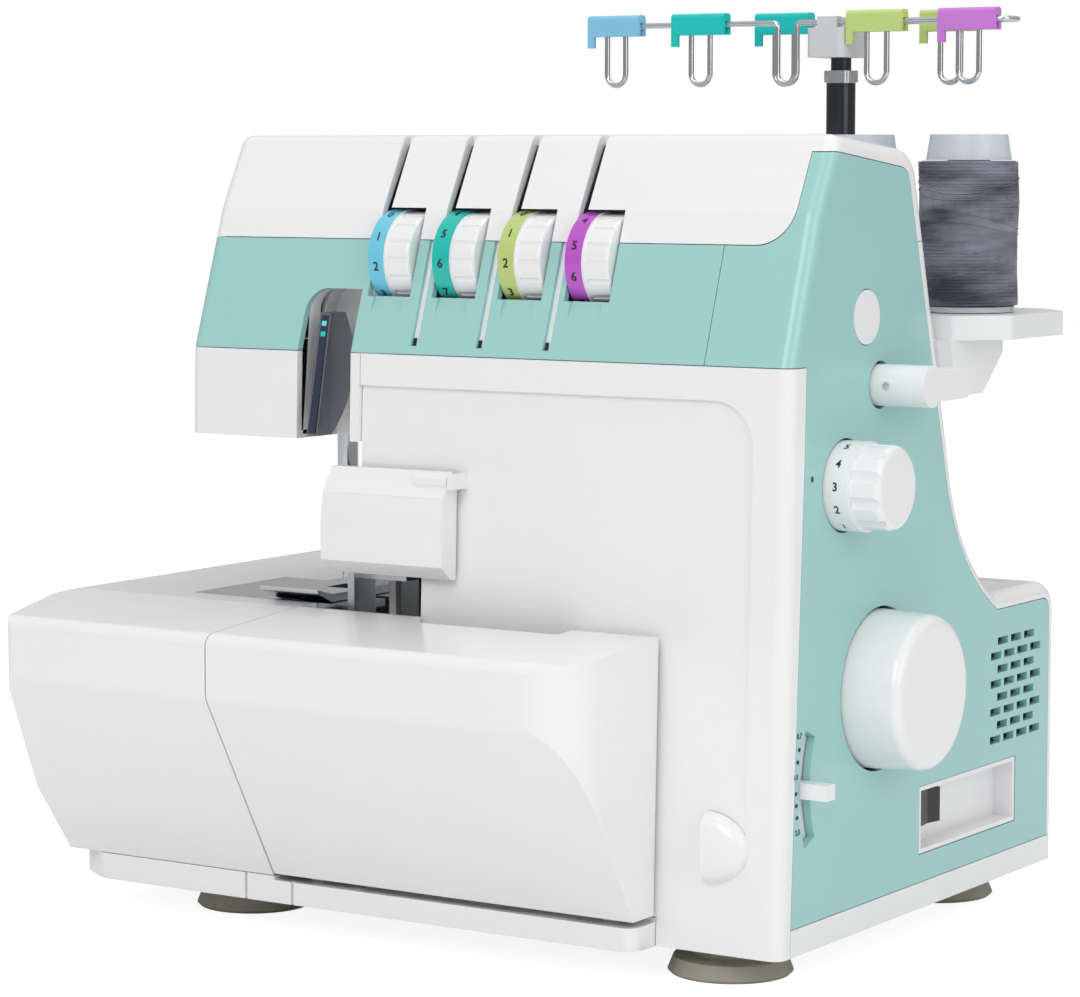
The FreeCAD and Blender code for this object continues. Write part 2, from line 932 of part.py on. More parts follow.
DIALS = steps(S.tension_count)


def window_cuts(name):
    """Windows that the tension dials stand in."""
    return [box(f"{name}_window", (tension_left(i) - S.window_side,
                                   tension_left(i) + S.tension_width + S.window_side),
                (WIDE_Y[0], S.panel_depth), (S.window_low, S.window_high)) for i in DIALS]


def recess_cut(name):
    """Open pocket at the arm's left end, where the take-up lever swings."""
    return pad(name, "XZ", [
        (S.recess_left, S.arm_bottom - S.wall),
        (S.recess_right, S.arm_bottom - S.wall),
        (S.recess_right, S.recess_high),
        (S.recess_left, S.recess_high, S.recess_round)], WIDE_Y[0], S.recess_rear)


def make_front_housing():
    """White front wall: sunk field, knife notch and the guard's hinge lug."""
    wall = common("front_wall", SHELL, front_zone())
    wedge = pad("field_wedge", "YZ", [
        (WIDE_Y[0], S.field_low),
        (front_wall(S.field_low), S.field_low),
        (front_wall(S.field_high) + S.field_depth, S.field_high),
        (WIDE_Y[0], S.field_high)], WIDE_X[0], WIDE_X[1])
    field = pad("field_outline", "XZ", [
        (WIDE_X[0], S.field_low),
        (S.field_right, S.field_low),
        (S.field_right, S.field_high, S.field_round),
        (WIDE_X[0], S.field_high)], WIDE_Y[0], S.panel_depth)
    notch = box("knife_notch", (WIDE_X[0], S.notch_right), (WIDE_Y[0], S.rib_front),
                (S.notch_low, S.notch_high))
    step = box("base_step", (WIDE_X[0], S.cover_right + S.seam), (WIDE_Y[0], S.panel_depth),
               (TALL_Z[0], S.base_top + S.seam))
    hollow = cut("front_sunk", wall, common("field", wedge, field), notch, step)
    lug = box("guard_lug", (S.guard_right + S.rub_gap, S.guard_right + S.rub_gap + S.guard_lug),
              (S.guard_pin_y - S.guard_barrel, front_wall(S.guard_pin_z) + S.wall - S.seam),
              (S.guard_pin_z - S.guard_barrel, S.guard_pin_z + S.guard_barrel))
    pin = rod("guard_pin", "X", (S.guard_pin_y, S.guard_pin_z), S.guard_pin,
              S.guard_barrel_left, S.guard_right + S.rub_gap + S.guard_lug)
    node(union("front_housing", hollow, lug, pin), "front_housing")


def make_arm_top_cover():
    """White cap over the arm, slit four times for the threads and notched by the dials."""
    above = box("above_band", WIDE_X, WIDE_Y, (S.band_high, TALL_Z[1]))
    cap = common("arm_cap", SHELL, above)
    slits = [box("thread_slit", (tension_left(i) + S.slit_offset,
                                 tension_left(i) + S.slit_offset + S.slit_width),
                 (WIDE_Y[0], S.front_top + S.wall), (S.band_high, TALL_Z[1])) for i in DIALS]
    node(cut("arm_top_cover", cap, SIDE_WIDE, *window_cuts("cap"), *slits), "arm_top_cover")


def make_arm_front_panel():
    """Coloured band across the arm, with dial windows, finger scoops and thread grooves."""
    zone = box("band_zone", (WIDE_X[0], S.panel_seam - S.seam), (WIDE_Y[0], S.panel_depth),
               (S.band_low, S.band_high - S.seam))
    band = common("arm_band", SHELL, zone)
    grooves = [box("thread_groove", (tension_left(i) + S.groove_offset,
                                     tension_left(i) + S.groove_offset + S.groove_width),
                   (WIDE_Y[0], S.panel_depth), (S.band_low + S.wall, S.band_high))
               for i in DIALS[:-1]]
    low, high = S.window_low - S.scoop_tall, S.window_low + S.wall
    scoops = [pad("dial_scoop", "YZ", [
        (front_band(low), low), (front_band(high) + S.scoop_depth, high),
        (WIDE_Y[0], high), (WIDE_Y[0], low)], tension_left(i) + S.scoop_side,
        tension_left(i) + S.tension_width - S.scoop_side) for i in DIALS]
    opened = cut("band_opened", band, *window_cuts("band"), recess_cut("band_recess"))
    node(cut("arm_front_panel", opened, *grooves, *scoops), "arm_front_panel")


def make_face_cover():
    """White lower left end of the arm, with the lined recess and the bar openings."""
    zone = box("face_zone", (WIDE_X[0], S.column_left - S.seam), WIDE_Y,
               (TALL_Z[0], S.band_low - S.seam))
    shell = common("face_shell", SHELL, zone)
    left = S.recess_left - S.lining
    outside = pad("lining_outside", "XZ", [
        (left, S.arm_bottom + S.wall / 2),
        (S.recess_right + S.lining, S.arm_bottom + S.wall / 2),
        (S.recess_right + S.lining, S.recess_high + S.lining),
        (left, S.recess_high + S.lining, S.recess_round + S.lining)],
        S.front_fold, S.recess_rear + S.lining)
    front = pad("lining_front", "YZ", [
        (S.front_band_low + S.wall + S.seam, S.arm_bottom),
        (S.front_band_low + S.wall + S.seam, S.band_low),
        (S.front_band_high + S.wall + S.seam, S.band_high),
        (S.recess_rear + S.wall, S.band_high),
        (S.recess_rear + S.wall, S.arm_bottom)], WIDE_X[0], S.column_left)
    lining = common("lining_block", outside, front)
    bars = [rod("bar_hole", "Z", (S.needle_x, y), S.bar_radius + S.wall,
                TALL_Z[0], S.arm_bottom + S.head_plate / 2) for y in (S.needle_y, S.presser_y)]
    bore = rod("take_up_bore", "X", (S.take_up_y, S.take_up_z), S.take_up_pin + S.run_gap,
               WIDE_X[0] + S.wall * 2, S.recess_left)
    lamp = box("lamp_hole", (S.lamp_left, S.lamp_right), (S.lamp_front, S.lamp_rear),
               (TALL_Z[0], S.arm_bottom + S.wall * 2))
    whole = union("face_whole", shell, lining)
    node(cut("face_cover", whole, recess_cut("face_recess"), bore, lamp, *bars), "face_cover")


def make_rear_housing():
    """White back of the column and arm with the low hump behind and a shallow shelf on it."""
    column = box("rear_zone", (S.column_left + S.wall + S.seam, WIDE_X[1]),
                 (S.panel_depth + S.seam, WIDE_Y[1]), (S.base_top, S.band_high - S.seam))
    arm = box("rear_arm_zone", (WIDE_X[0], WIDE_X[1]),
              (S.panel_depth + S.seam, WIDE_Y[1]), (S.band_low, S.band_high - S.seam))
    left = box("rear_left_zone", (S.column_left, S.column_left + S.wall * 2),
               (S.rear_neck - S.wall + S.seam, WIDE_Y[1]), (S.base_top, S.arm_bottom))
    shell = common("rear_shell", SHELL, column, arm, left)
    hole = inlet_block("inlet_hole", S.seam, S.half_depth - S.wall * 2, WIDE_Y[1])
    shelf = box("hump_shelf",
                (S.column_left + S.shelf_margin, S.right_face - S.edge_round - S.shelf_margin),
                (S.hump_front + S.shelf_margin, S.half_depth - S.hump_round),
                (S.hump_height - S.shelf_sink, S.hump_height + S.wall))
    node(cut("rear_housing", shell, SIDE_WIDE, hole, shelf), "rear_housing")


def inlet_block(name, slack, front, rear):
    """Oblong block along Y where the mains inlet sits, with slack all round."""
    return box(name, (S.inlet_x - S.inlet_half - slack, S.inlet_x + S.inlet_half + slack),
               (front, rear), (S.inlet_z - S.inlet_rise - slack, S.inlet_z + S.inlet_rise + slack))


def make_power_inlet():
    """Mains socket let into the low rear wall: a lipped body with a hollow and two pins."""
    rear = S.half_depth - S.seam
    inner = S.half_depth - S.wall - S.seam
    body = inlet_block("inlet_body", 0 * S.wall, S.half_depth - S.inlet_depth, rear)
    lip = inlet_block("inlet_lip", S.wall, inner - S.wall, inner)
    hollow = inlet_block("inlet_hollow", -S.wall, S.half_depth - S.inlet_depth + S.wall, WIDE_Y[1])
    pins = [rod("inlet_pin", "Y", (S.inlet_x + side * S.inlet_half / 2, S.inlet_z), S.inlet_pin,
                S.half_depth - S.inlet_depth + S.wall / 2, inner) for side in (-1, 1)]
    shell = cut("inlet_shell", union("inlet_whole", body, lip), hollow)
    node(union("power_inlet", shell, *pins), "power_inlet")


def vent_cuts():
    """Bricked rows of short air slots."""
    slots = []
    for row in steps(S.vent_rows):
        shift = S.vent_step / 2 * (row % 2)
        for column in steps(S.vent_columns - row % 2):
            front = S.vent_front + shift + S.vent_step * column
            low = S.vent_low + S.vent_pitch * row
            slots.append(box("vent", (S.right_face - S.wall * 2, WIDE_X[1]),
                             (front, front + S.vent_long), (low, low + S.vent_slot)))
    return slots


def ring_sector(name, centre, inside, outside, half, start, end):
    """Flat piece of a ring round an axis along X, on its front side, half degrees each way."""
    turn = math.radians(number(half))
    y, z = centre
    low_in = (y - inside * math.cos(turn), z - inside * math.sin(turn))
    high_in = (y - inside * math.cos(turn), z + inside * math.sin(turn))
    low_out = (y - outside * math.cos(turn), z - outside * math.sin(turn))
    high_out = (y - outside * math.cos(turn), z + outside * math.sin(turn))
    return pad(name, "YZ", [
        low_in, high_in + (None, -inside), high_out, low_out + (None, outside)], start, end)


def make_right_side_cover():
    """Coloured side panel, wrapped round onto the arm, with the openings for the controls."""
    panel = common("side_panel", SHELL, SIDE)
    through = (S.right_face - S.wall * 2, WIDE_X[1])
    holes = [rod("side_hole", "X", centre, radius, *through) for centre, radius in (
        ((S.wheel_y, S.wheel_z), S.wheel_radius + S.wheel_gap),
        ((S.dial_y, S.dial_z), S.dial_radius + S.dial_gap),
        ((S.plug_y, S.plug_z), S.plug_radius + S.seam),
        ((S.lifter_y, S.lifter_z), S.lifter_hole))]
    slot = ring_sector("feed_slot", (S.feed_lever_y, S.feed_lever_z), S.feed_slot_in,
                       S.feed_slot_out, S.feed_slot_half, *through)
    switch = box("switch_hole", through, (S.switch_front - S.seam, S.switch_rear + S.seam),
                 (S.switch_low - S.seam, S.switch_high + S.seam))
    vents = group("vents", vent_cuts())
    opened = cut("side_opened", panel, slot, switch, *holes)
    node(two_sided("Part::Cut", "right_side_cover", opened, vents), "right_side_cover")


def make_base_tray():
    """White base: rim under the column, floor, front lip and the lugs of the cover's hinge."""
    rim_zone = box("rim_zone", (S.column_left + S.wall, WIDE_X[1]),
                   (S.corner_seam_low, WIDE_Y[1]), (TALL_Z[0], S.base_top - S.seam))
    rim = common("base_rim", SHELL, rim_zone)
    floor = pad("base_floor", "XY", [
        (S.lip_left, S.base_lip, S.cover_round),
        (S.cover_right, S.base_lip, S.cover_round),
        (S.cover_right, S.front_foot + S.wall + S.rub_gap * 2),
        (S.right_face - S.wall, S.front_foot + S.wall + S.rub_gap * 2),
        (S.right_face - S.wall, S.half_depth - S.wall),
        (S.column_left, S.half_depth - S.wall),
        (S.column_left, S.bed_rear, S.cover_round),
        (S.base_left, S.bed_rear, S.cover_round),
        (S.base_left, S.bed_shoulder, S.cover_round)],
        S.base_bottom, S.base_top)
    under = pad("base_under", "XY", [
        (S.lip_left + S.wall, S.base_lip + S.wall),
        (S.cover_right - S.wall, S.base_lip + S.wall),
        (S.cover_right - S.wall, S.front_foot + S.wall * 2),
        (S.right_face - S.wall * 2, S.front_foot + S.wall * 2),
        (S.right_face - S.wall * 2, S.half_depth - S.wall * 2),
        (S.column_left + S.wall, S.half_depth - S.wall * 2),
        (S.column_left + S.wall, S.bed_rear - S.wall),
        (S.base_left + S.wall, S.bed_rear - S.wall),
        (S.base_left + S.wall, S.bed_shoulder + S.wall)],
        S.base_bottom - S.wall, S.base_top - S.base_plate)
    trough = box("hinge_trough", (S.cover_seam, S.cover_right + S.wall),
                 (S.base_lip - S.wall, S.front_foot), (S.lip_top, S.base_top + S.wall))
    bosses = [rod("foot_boss", "Z", spot, S.foot_neck, S.base_bottom, S.base_top)
              for spot in foot_spots()]
    body = cut("base_body", floor, under, trough)
    lugs = [pad("hinge_hook", "YZ", [
        (S.hinge_y + S.barrel_radius, S.lip_top - S.base_plate / 2),
        (S.front_foot - S.wall / 2, S.lip_top - S.base_plate / 2),
        (S.front_foot - S.wall / 2, S.hinge_z + S.barrel_radius),
        (S.hinge_y - S.lug_front, S.hinge_z + S.barrel_radius, S.barrel_radius / 2),
        (S.hinge_y - S.lug_front, S.hinge_z + S.lug_front / 2),
        (S.hinge_y + S.barrel_radius, S.hinge_z - S.barrel_radius / 2)], left, left + S.lug_width)
            for left in (S.lug_left, S.lug_right)]
    bore = rod("hinge_bore", "X", (S.hinge_y, S.hinge_z), S.hinge_radius + S.run_gap,
               S.rod_left, S.rod_right)
    slits = [box("base_slit", (left, left + S.base_slit),
                 (S.base_lip - S.wall, S.base_lip + S.wall / 2),
                 (S.base_bottom - S.wall, S.base_top + S.wall))
             for left in (S.base_slit_left, S.base_slit_right)]
    whole = union("base_whole", rim, body, *lugs, *bosses)
    node(cut("base_tray", whole, bore, *slits), "base_tray")


def foot_spots():
    """Where the four feet stand."""
    return [(S.foot_right, S.foot_front), (S.foot_right, S.foot_rear),
            (S.foot_left, S.foot_front), (S.foot_left, S.foot_left_rear)]


def make_feet():
    """Four turned rubber feet with a wide rim on the floor."""
    floor = 0 * S.wall
    feet = [revolve("rubber_foot", [
        (floor, floor), (floor, S.foot_radius - S.foot_chamfer), (S.foot_chamfer, S.foot_radius),
        (S.foot_rim, S.foot_radius - S.foot_taper), (S.foot_rim + S.foot_chamfer, S.foot_neck),
        (S.base_bottom, S.foot_neck), (S.base_bottom, floor)], "Z", x=spot[0], y=spot[1])
        for spot in foot_spots()]
    node(group("rubber_feet", feet), "rubber_feet")


# Bed: two covers with one front profile, the fixed rear block and the needle plate


def cover_outline(inset, rear_low, rear_high, floor):
    """Front profile of the bed covers: sloped top, upright band, crease and drawn-in foot."""
    front = -S.half_depth + inset
    top = S.bed_top - inset
    return [
        (S.cover_foot + inset, floor),
        (front, S.band_front_low + inset / 2, S.crease_round),
        (front, S.cover_front_top - inset, S.cover_round),
        (S.front_foot, top),
        (rear_high, top),
        (rear_low, floor),
    ]


def cover_rear(height):
    """How far back the looper cover reaches at a height, clear of the leaning front wall."""
    return front_wall(height) - S.cover_wall_gap


def cover_front(height):
    """Y of the covers' drawn-in foot at a height below the crease."""
    lean = (S.half_depth + S.cover_foot) / (S.band_front_low - S.cover_bottom)
    return S.cover_foot - lean * (height - S.cover_bottom)


def make_looper_cover():
    """White front cover with a rounded right end, a finger recess and two hinge barrels."""
    def shape(name, inset, left, floor, rear_extra):
        side = pad(name + "_side", "YZ", cover_outline(
            inset, cover_rear(S.cover_bottom) + rear_extra, cover_rear(S.bed_top) + rear_extra,
            floor), left, S.cover_right - inset)
        plan = pad(name + "_plan", "XY", [
            (left, -S.half_depth + inset),
            (S.cover_right - inset, -S.half_depth + inset, S.cover_corner - inset),
            (S.cover_right - inset, S.panel_depth),
            (left, S.panel_depth)], S.base_bottom - S.wall, S.bed_top + S.wall)
        return common(name, side, plan)
    outside = shape("looper_outside", 0 * S.wall, S.cover_seam + S.seam, S.cover_bottom, 0 * S.wall)
    inside = shape("looper_inside", S.cover_wall, S.cover_seam - S.wall,
                   S.cover_bottom - S.cover_wall, S.wall)
    grip = pad("grip_cut", "YZ", [
        (S.front_foot - S.grip_depth, S.bed_top + S.wall),
        (S.front_foot - S.grip_depth + S.grip_sink / 2, S.bed_top - S.grip_sink),
        (S.panel_depth, S.bed_top - S.grip_sink),
        (S.panel_depth, S.bed_top + S.wall)], S.grip_left, S.grip_right)
    shell = cut("looper_shell", outside, inside, grip)
    arms = []
    web_top = S.hinge_z + S.barrel_radius
    for left in (S.barrel_left, S.barrel_right):
        right = left + S.barrel_length
        arms.append(rod("barrel", "X", (S.hinge_y, S.hinge_z), S.barrel_radius, left, right))
        arms.append(pad("barrel_web", "YZ", [
            (S.cover_foot + S.cover_wall / 2, S.cover_bottom),
            (cover_front(web_top) + S.cover_wall / 4, web_top),
            (S.hinge_y, web_top),
            (S.hinge_y, S.cover_bottom + S.rub_gap)], left, right))
    bore = rod("barrel_bore", "X", (S.hinge_y, S.hinge_z), S.hinge_radius + S.run_gap,
               S.rod_left, S.rod_right)
    node(cut("looper_cover", union("looper_whole", shell, *arms), bore), "looper_cover")
    pin = rod("cover_hinge_rod", "X", (S.hinge_y, S.hinge_z), S.hinge_radius,
              S.rod_left, S.rod_right)
    node(pin, "cover_hinge_rod")


def bed_form(name, inset, right, front_profile, rear, floor):
    """Bed block with a tapered left front corner and a left side that leans in at the foot."""
    left = -S.half_width + inset
    side = pad(name + "_side", "YZ", front_profile, left, right)
    plan = pad(name + "_plan", "XY", [
        (left, S.bed_shoulder, S.cover_corner),
        (left + S.bed_taper, -S.half_depth + inset, S.cover_round),
        (right, -S.half_depth + inset),
        (right, rear),
        (left, rear)], S.base_bottom - S.wall, S.bed_top + S.wall)
    back = pad(name + "_back", "XZ", [
        (S.bed_foot_left + inset, floor),
        (left, S.band_front_low),
        (left, S.bed_top - inset, S.cover_round),
        (right, S.bed_top - inset),
        (right, floor)], -S.half_depth, rear)
    return common(name, common(name + "_two", side, plan), back)


def make_cloth_plate_cover():
    """White cloth plate and left front cover in one, notched round the needle plate."""
    floor = S.base_top + S.seam
    outside = bed_form("cloth_outside", 0 * S.wall, S.cover_seam - S.seam, cover_outline(
        0 * S.wall, S.cloth_rear, S.cloth_rear, floor), S.cloth_rear, floor)
    low = floor - S.wall
    inside = bed_form("cloth_inside", S.cover_wall, S.cover_seam + S.wall, cover_outline(
        S.cover_wall, S.cloth_rear + S.wall, S.cloth_rear + S.wall, low), S.cloth_rear + S.wall, low)
    notch = box("plate_notch", (S.plate_left - S.rub_gap, S.cover_seam + S.wall),
                (S.plate_front - S.rub_gap, S.plate_rear + S.rub_gap),
                (S.bed_top - S.cover_wall * 2, S.bed_top + S.wall))
    node(cut("cloth_plate_cover", outside, inside, notch), "cloth_plate_cover")


def make_bed_housing():
    """White fixed block behind the cloth plate and the free arm under the needle plate."""
    floor = S.base_top
    front = S.cloth_rear + S.rub_gap
    right = S.column_left - S.seam
    left = -S.half_width

    def block(name, inset, low):
        side = pad(name, "XZ", [
            (S.bed_foot_left + inset, low),
            (left + inset, S.band_front_low),
            (left + inset, S.bed_top - inset, S.cover_round),
            (right - inset, S.bed_top - inset),
            (right - inset, low)], front + inset, S.bed_rear - inset)
        return side
    shell = cut("rear_block", block("rear_block_outside", 0 * S.wall, floor),
                block("rear_block_inside", S.wall, floor - S.wall))
    under = S.bed_top - S.cover_wall - S.rub_gap
    deck = box("free_arm_deck", (S.free_arm_left, S.plate_right),
               (S.free_arm_front, front + S.wall), (under - S.free_arm_thick, under))
    seat = box("plate_seat", (S.plate_left + S.wall, S.plate_right),
               (S.plate_front + S.wall, S.plate_rear - S.wall),
               (under - S.free_arm_thick, S.bed_top - S.plate_thick))
    wall = box("free_arm_wall", (S.free_arm_left, S.free_arm_left + S.free_arm_thick),
               (S.free_arm_front, front + S.wall), (S.base_top, under))
    window = box("looper_window", (S.feed_left - S.wall, S.plate_right + S.free_arm_thick * 2),
                 (S.feed_front - S.wall, S.feed_rear + S.wall),
                 (under - S.free_arm_thick * 2, S.bed_top))
    node(cut("bed_housing", union("bed_whole", shell, deck, seat, wall), window), "bed_housing")


def make_needle_plate():
    """Polished plate with the feed slot, the needle slot and a stitch finger at its right."""
    low = S.bed_top - S.plate_thick
    plate = pad("plate_blank", "XY", [
        (S.plate_left, S.plate_front, S.cover_wall),
        (S.plate_right, S.plate_front, S.cover_wall),
        (S.plate_right, S.plate_rear, S.cover_wall),
        (S.plate_left, S.plate_rear, S.cover_wall)], low, S.bed_top)
    tall = (low - S.wall, S.bed_top + S.wall)
    feed = box("feed_opening", (S.feed_left, S.feed_right), (S.feed_front, S.feed_rear), tall)
    needle = box("needle_opening",
                 (S.needle_x - S.needle_slot_half, S.needle_x + S.needle_slot_half),
                 (S.needle_y - S.needle_slot_wide / 2, S.needle_y + S.needle_slot_wide / 2), tall)
    finger = box("finger_opening", (S.needle_x + S.needle_slot_half + S.wall, S.plate_right + S.wall),
                 (S.needle_y - S.wall, S.needle_y + S.wall), tall)
    node(cut("needle_plate", plate, feed, needle, finger), "needle_plate")


# Chassis and drive


def make_main_frame():
    """Cast chassis: floor, two uprights, arm beam, head plates and the loopers' bracket."""
    floor_top = S.base_top + S.floor_thick
    upright_y = (S.upright_front, S.upright_rear)
    floor = box("chassis_floor", (S.column_left + S.wall + S.seam, S.chassis_right),
                (S.chassis_front, S.chassis_rear), (S.base_top, floor_top))
    tongue = box("chassis_tongue", (S.chassis_left, S.column_left + S.wall * 2),
                 (S.chassis_front, S.cloth_rear - S.wall), (S.base_top, floor_top))
    uprights = [box("upright", (left, left + S.upright_thick), upright_y,
                    (S.base_top, S.beam_high)) for left in (S.upright_left, S.upright_right)]
    beam = box("arm_beam", (S.beam_left, S.upright_right + S.upright_thick),
               (S.beam_front, S.beam_rear), (S.beam_low, S.beam_high))
    head_x = (S.head_left, S.head_right)
    plates = [box("head_plate", head_x, (S.head_front, S.beam_rear), (low, low + S.head_plate))
              for low in (S.head_low, S.beam_low - S.head_plate)]
    spine = box("head_spine", head_x, (S.beam_rear - S.head_plate, S.beam_rear),
                (S.head_low, S.beam_low))
    rib = box("knife_rib", (S.upright_left, S.upright_left + S.upright_thick),
              (S.rib_front, S.upright_front), (S.rib_low, S.rib_high))
    bracket_y = (S.looper_bracket_front, S.looper_bracket_front + S.looper_bracket_thick)
    bracket = box("looper_bracket", (S.looper_bracket_left, S.looper_bracket_right), bracket_y,
                  (S.base_top, S.looper_bracket_high))
    pins = [rod("looper_pin", "Y", centre, S.looper_pin, front, bracket_y[0]) for centre, front in (
        ((S.lower_looper_x, S.lower_looper_z), S.lower_looper_y - S.looper_thick),
        ((S.upper_looper_x, S.upper_looper_z), S.upper_looper_y - S.looper_thick))]
    lugs = [box("axle_lug", (left, left + S.axle_lug),
                (S.tension_y - S.tension_axle * 2, S.beam_front),
                (S.tension_z - S.tension_axle * 2, S.beam_high))
            for left in (S.axle_left, S.axle_right - S.axle_lug)]
    feed_pin = rod("feed_lever_pin", "X", (S.feed_lever_y, S.feed_lever_z), S.feed_pin,
                   S.upright_right, S.feed_arm_left + S.feed_arm_thick)
    cradles = [box("motor_cradle", (left, left + S.cradle_width),
                   (S.motor_y - S.motor_radius / 2, S.motor_y + S.motor_radius / 2),
                   (S.base_top, S.motor_z)) for left in (S.cradle_left, S.cradle_right)]
    whole = union("chassis_whole", floor, tongue, beam, spine, rib, bracket, feed_pin,
                  *uprights, *plates, *pins, *lugs, *cradles)
    through = (S.upright_left - S.wall, S.upright_right + S.upright_thick + S.wall)
    tall = (S.head_low - S.wall, S.beam_high + S.wall)
    bores = [rod("bar_bore", "Z", (S.needle_x, y), S.bar_radius + S.run_gap, *tall)
             for y in (S.needle_y, S.presser_y)]
    bores.append(rod("bearing_bore", "X", (S.wheel_y, S.wheel_z), S.bearing_radius, *through))
    bores.append(rod("lifter_bore", "X", (S.lifter_y, S.lifter_z), S.lifter_shaft + S.run_gap,
                     *through))
    bores.append(rod("dial_bore", "X", (S.dial_y, S.dial_z), S.dial_stem + S.run_gap,
                     S.upright_right - S.wall, through[1]))
    bores.append(rod("axle_bore", "X", (S.tension_y, S.tension_z), S.tension_axle,
                     S.axle_left, S.axle_right))
    bores.append(rod("motor_seat", "X", (S.motor_y, S.motor_z), S.motor_radius,
                     S.motor_left, S.motor_right))
    bores.append(rod("tension_room", "X", (S.tension_y, S.tension_z), S.tension_radius + S.wall,
                     through[0], S.upright_left + S.upright_thick + S.wall))
    node(cut("main_frame", whole, *bores), "main_frame")


def make_drive():
    """Main shaft with its bearings, pulley and handwheel, and the motor with its belt."""
    axis = {"y": S.wheel_y, "z": S.wheel_z}
    shaft_hole = S.shaft_radius + S.run_gap
    node(rod("main_shaft", "X", (S.wheel_y, S.wheel_z), S.shaft_radius,
             S.shaft_left, S.shaft_right), "main_shaft")
    bearings = []
    for left in (S.upright_left, S.upright_right):
        right, lip = left + S.upright_thick, left - S.bearing_lip
        bearings.append(revolve("bearing", [
            (lip, shaft_hole), (lip, S.bearing_flange), (left, S.bearing_flange),
            (left, S.bearing_radius), (right, S.bearing_radius),
            (right, shaft_hole)], "X", **axis))
    node(group("shaft_bearings", bearings), "shaft_bearings")
    node(grooved_pulley("shaft_pulley", S.pulley_left, S.pulley_radius, S.shaft_radius, axis),
         "shaft_pulley")
    outer = S.half_width
    wheel = revolve("handwheel", [
        (S.wheel_inner, S.shaft_radius), (S.wheel_inner, S.wheel_radius),
        (outer, S.wheel_radius - S.wheel_taper, S.wheel_round), (outer, 0 * S.wall),
        (S.shaft_right, 0 * S.wall), (S.shaft_right, S.shaft_radius)], "X", **axis)
    node(wheel, "handwheel")
    make_motor()


def grooved_pulley(name, left, radius, bore, axis):
    """Belt pulley with a flat-bottomed groove between two rims."""
    right = left + S.pulley_width
    low = radius - S.groove_depth
    return revolve(name, [
        (left, bore), (left, radius), (left + S.pulley_rim, radius),
        (left + S.pulley_rim * 2, low), (right - S.pulley_rim * 2, low),
        (right - S.pulley_rim, radius), (right, radius), (right, bore)], "X", **axis)


def make_motor():
    """Motor can with a nose, its shaft and pulley in one, and the belt round both pulleys."""
    axis = {"y": S.motor_y, "z": S.motor_z}
    hole = S.motor_shaft_radius + S.run_gap
    nose = S.motor_right + S.wall * 2
    node(revolve("motor", [
        (S.motor_left, 0 * S.wall), (S.motor_left, S.motor_radius),
        (S.motor_right, S.motor_radius), (S.motor_right, S.motor_nose), (nose, S.motor_nose),
        (nose, hole), (S.motor_right - S.motor_nose, hole),
        (S.motor_right - S.motor_nose, 0 * S.wall)], "X", **axis), "motor")
    right = S.pulley_left + S.pulley_width
    low = S.motor_pulley_radius - S.groove_depth
    node(revolve("motor_pulley", [
        (S.motor_right - S.motor_nose + S.seam, 0 * S.wall),
        (S.motor_right - S.motor_nose + S.seam, S.motor_shaft_radius),
        (S.pulley_left, S.motor_shaft_radius), (S.pulley_left, S.motor_pulley_radius),
        (S.pulley_left + S.pulley_rim, S.motor_pulley_radius),
        (S.pulley_left + S.pulley_rim * 2, low), (right - S.pulley_rim * 2, low),
        (right - S.pulley_rim, S.motor_pulley_radius), (right, S.motor_pulley_radius),
        (right, 0 * S.wall)], "X", **axis), "motor_pulley")
    belt = doc.addObject("Part::Feature", "drive_belt")
    middle = S.pulley_left + S.pulley_width / 2
    belt.Shape = belt_loop(S.rub_gap + S.belt_thick).cut(belt_loop(S.rub_gap))
    belt.Placement = FreeCAD.Placement(
        FreeCAD.Vector(number(middle - S.belt_width / 2), 0, 0), FreeCAD.Rotation())
    node(belt, "drive_belt")


def belt_loop(stand):
    """Solid inside a belt that stands off both groove floors: two arcs and two tangents."""
    big = number(S.pulley_radius - S.groove_depth + stand)
    small = number(S.motor_pulley_radius - S.groove_depth + stand)
    first = FreeCAD.Vector(0, number(S.wheel_y), number(S.wheel_z))
    second = FreeCAD.Vector(0, number(S.motor_y), number(S.motor_z))
    along = second - first
    span = along.Length
    along.normalize()
    across = FreeCAD.Vector(1, 0, 0).cross(along)
    tilt = math.asin((big - small) / span)

    def rim(centre, radius, side):
        return centre + along * (radius * math.sin(tilt)) + across * (side * radius * math.cos(tilt))
    edges = [
        Part.Arc(rim(first, big, 1), first - along * big, rim(first, big, -1)).toShape(),
        Part.makeLine(rim(first, big, -1), rim(second, small, -1)),
        Part.Arc(rim(second, small, -1), second + along * small, rim(second, small, 1)).toShape(),
        Part.makeLine(rim(second, small, 1), rim(first, big, 1))]
    face = Part.Face(Part.Wire(edges))
    return face.extrude(FreeCAD.Vector(number(S.belt_width), 0, 0))


# Controls on the right side


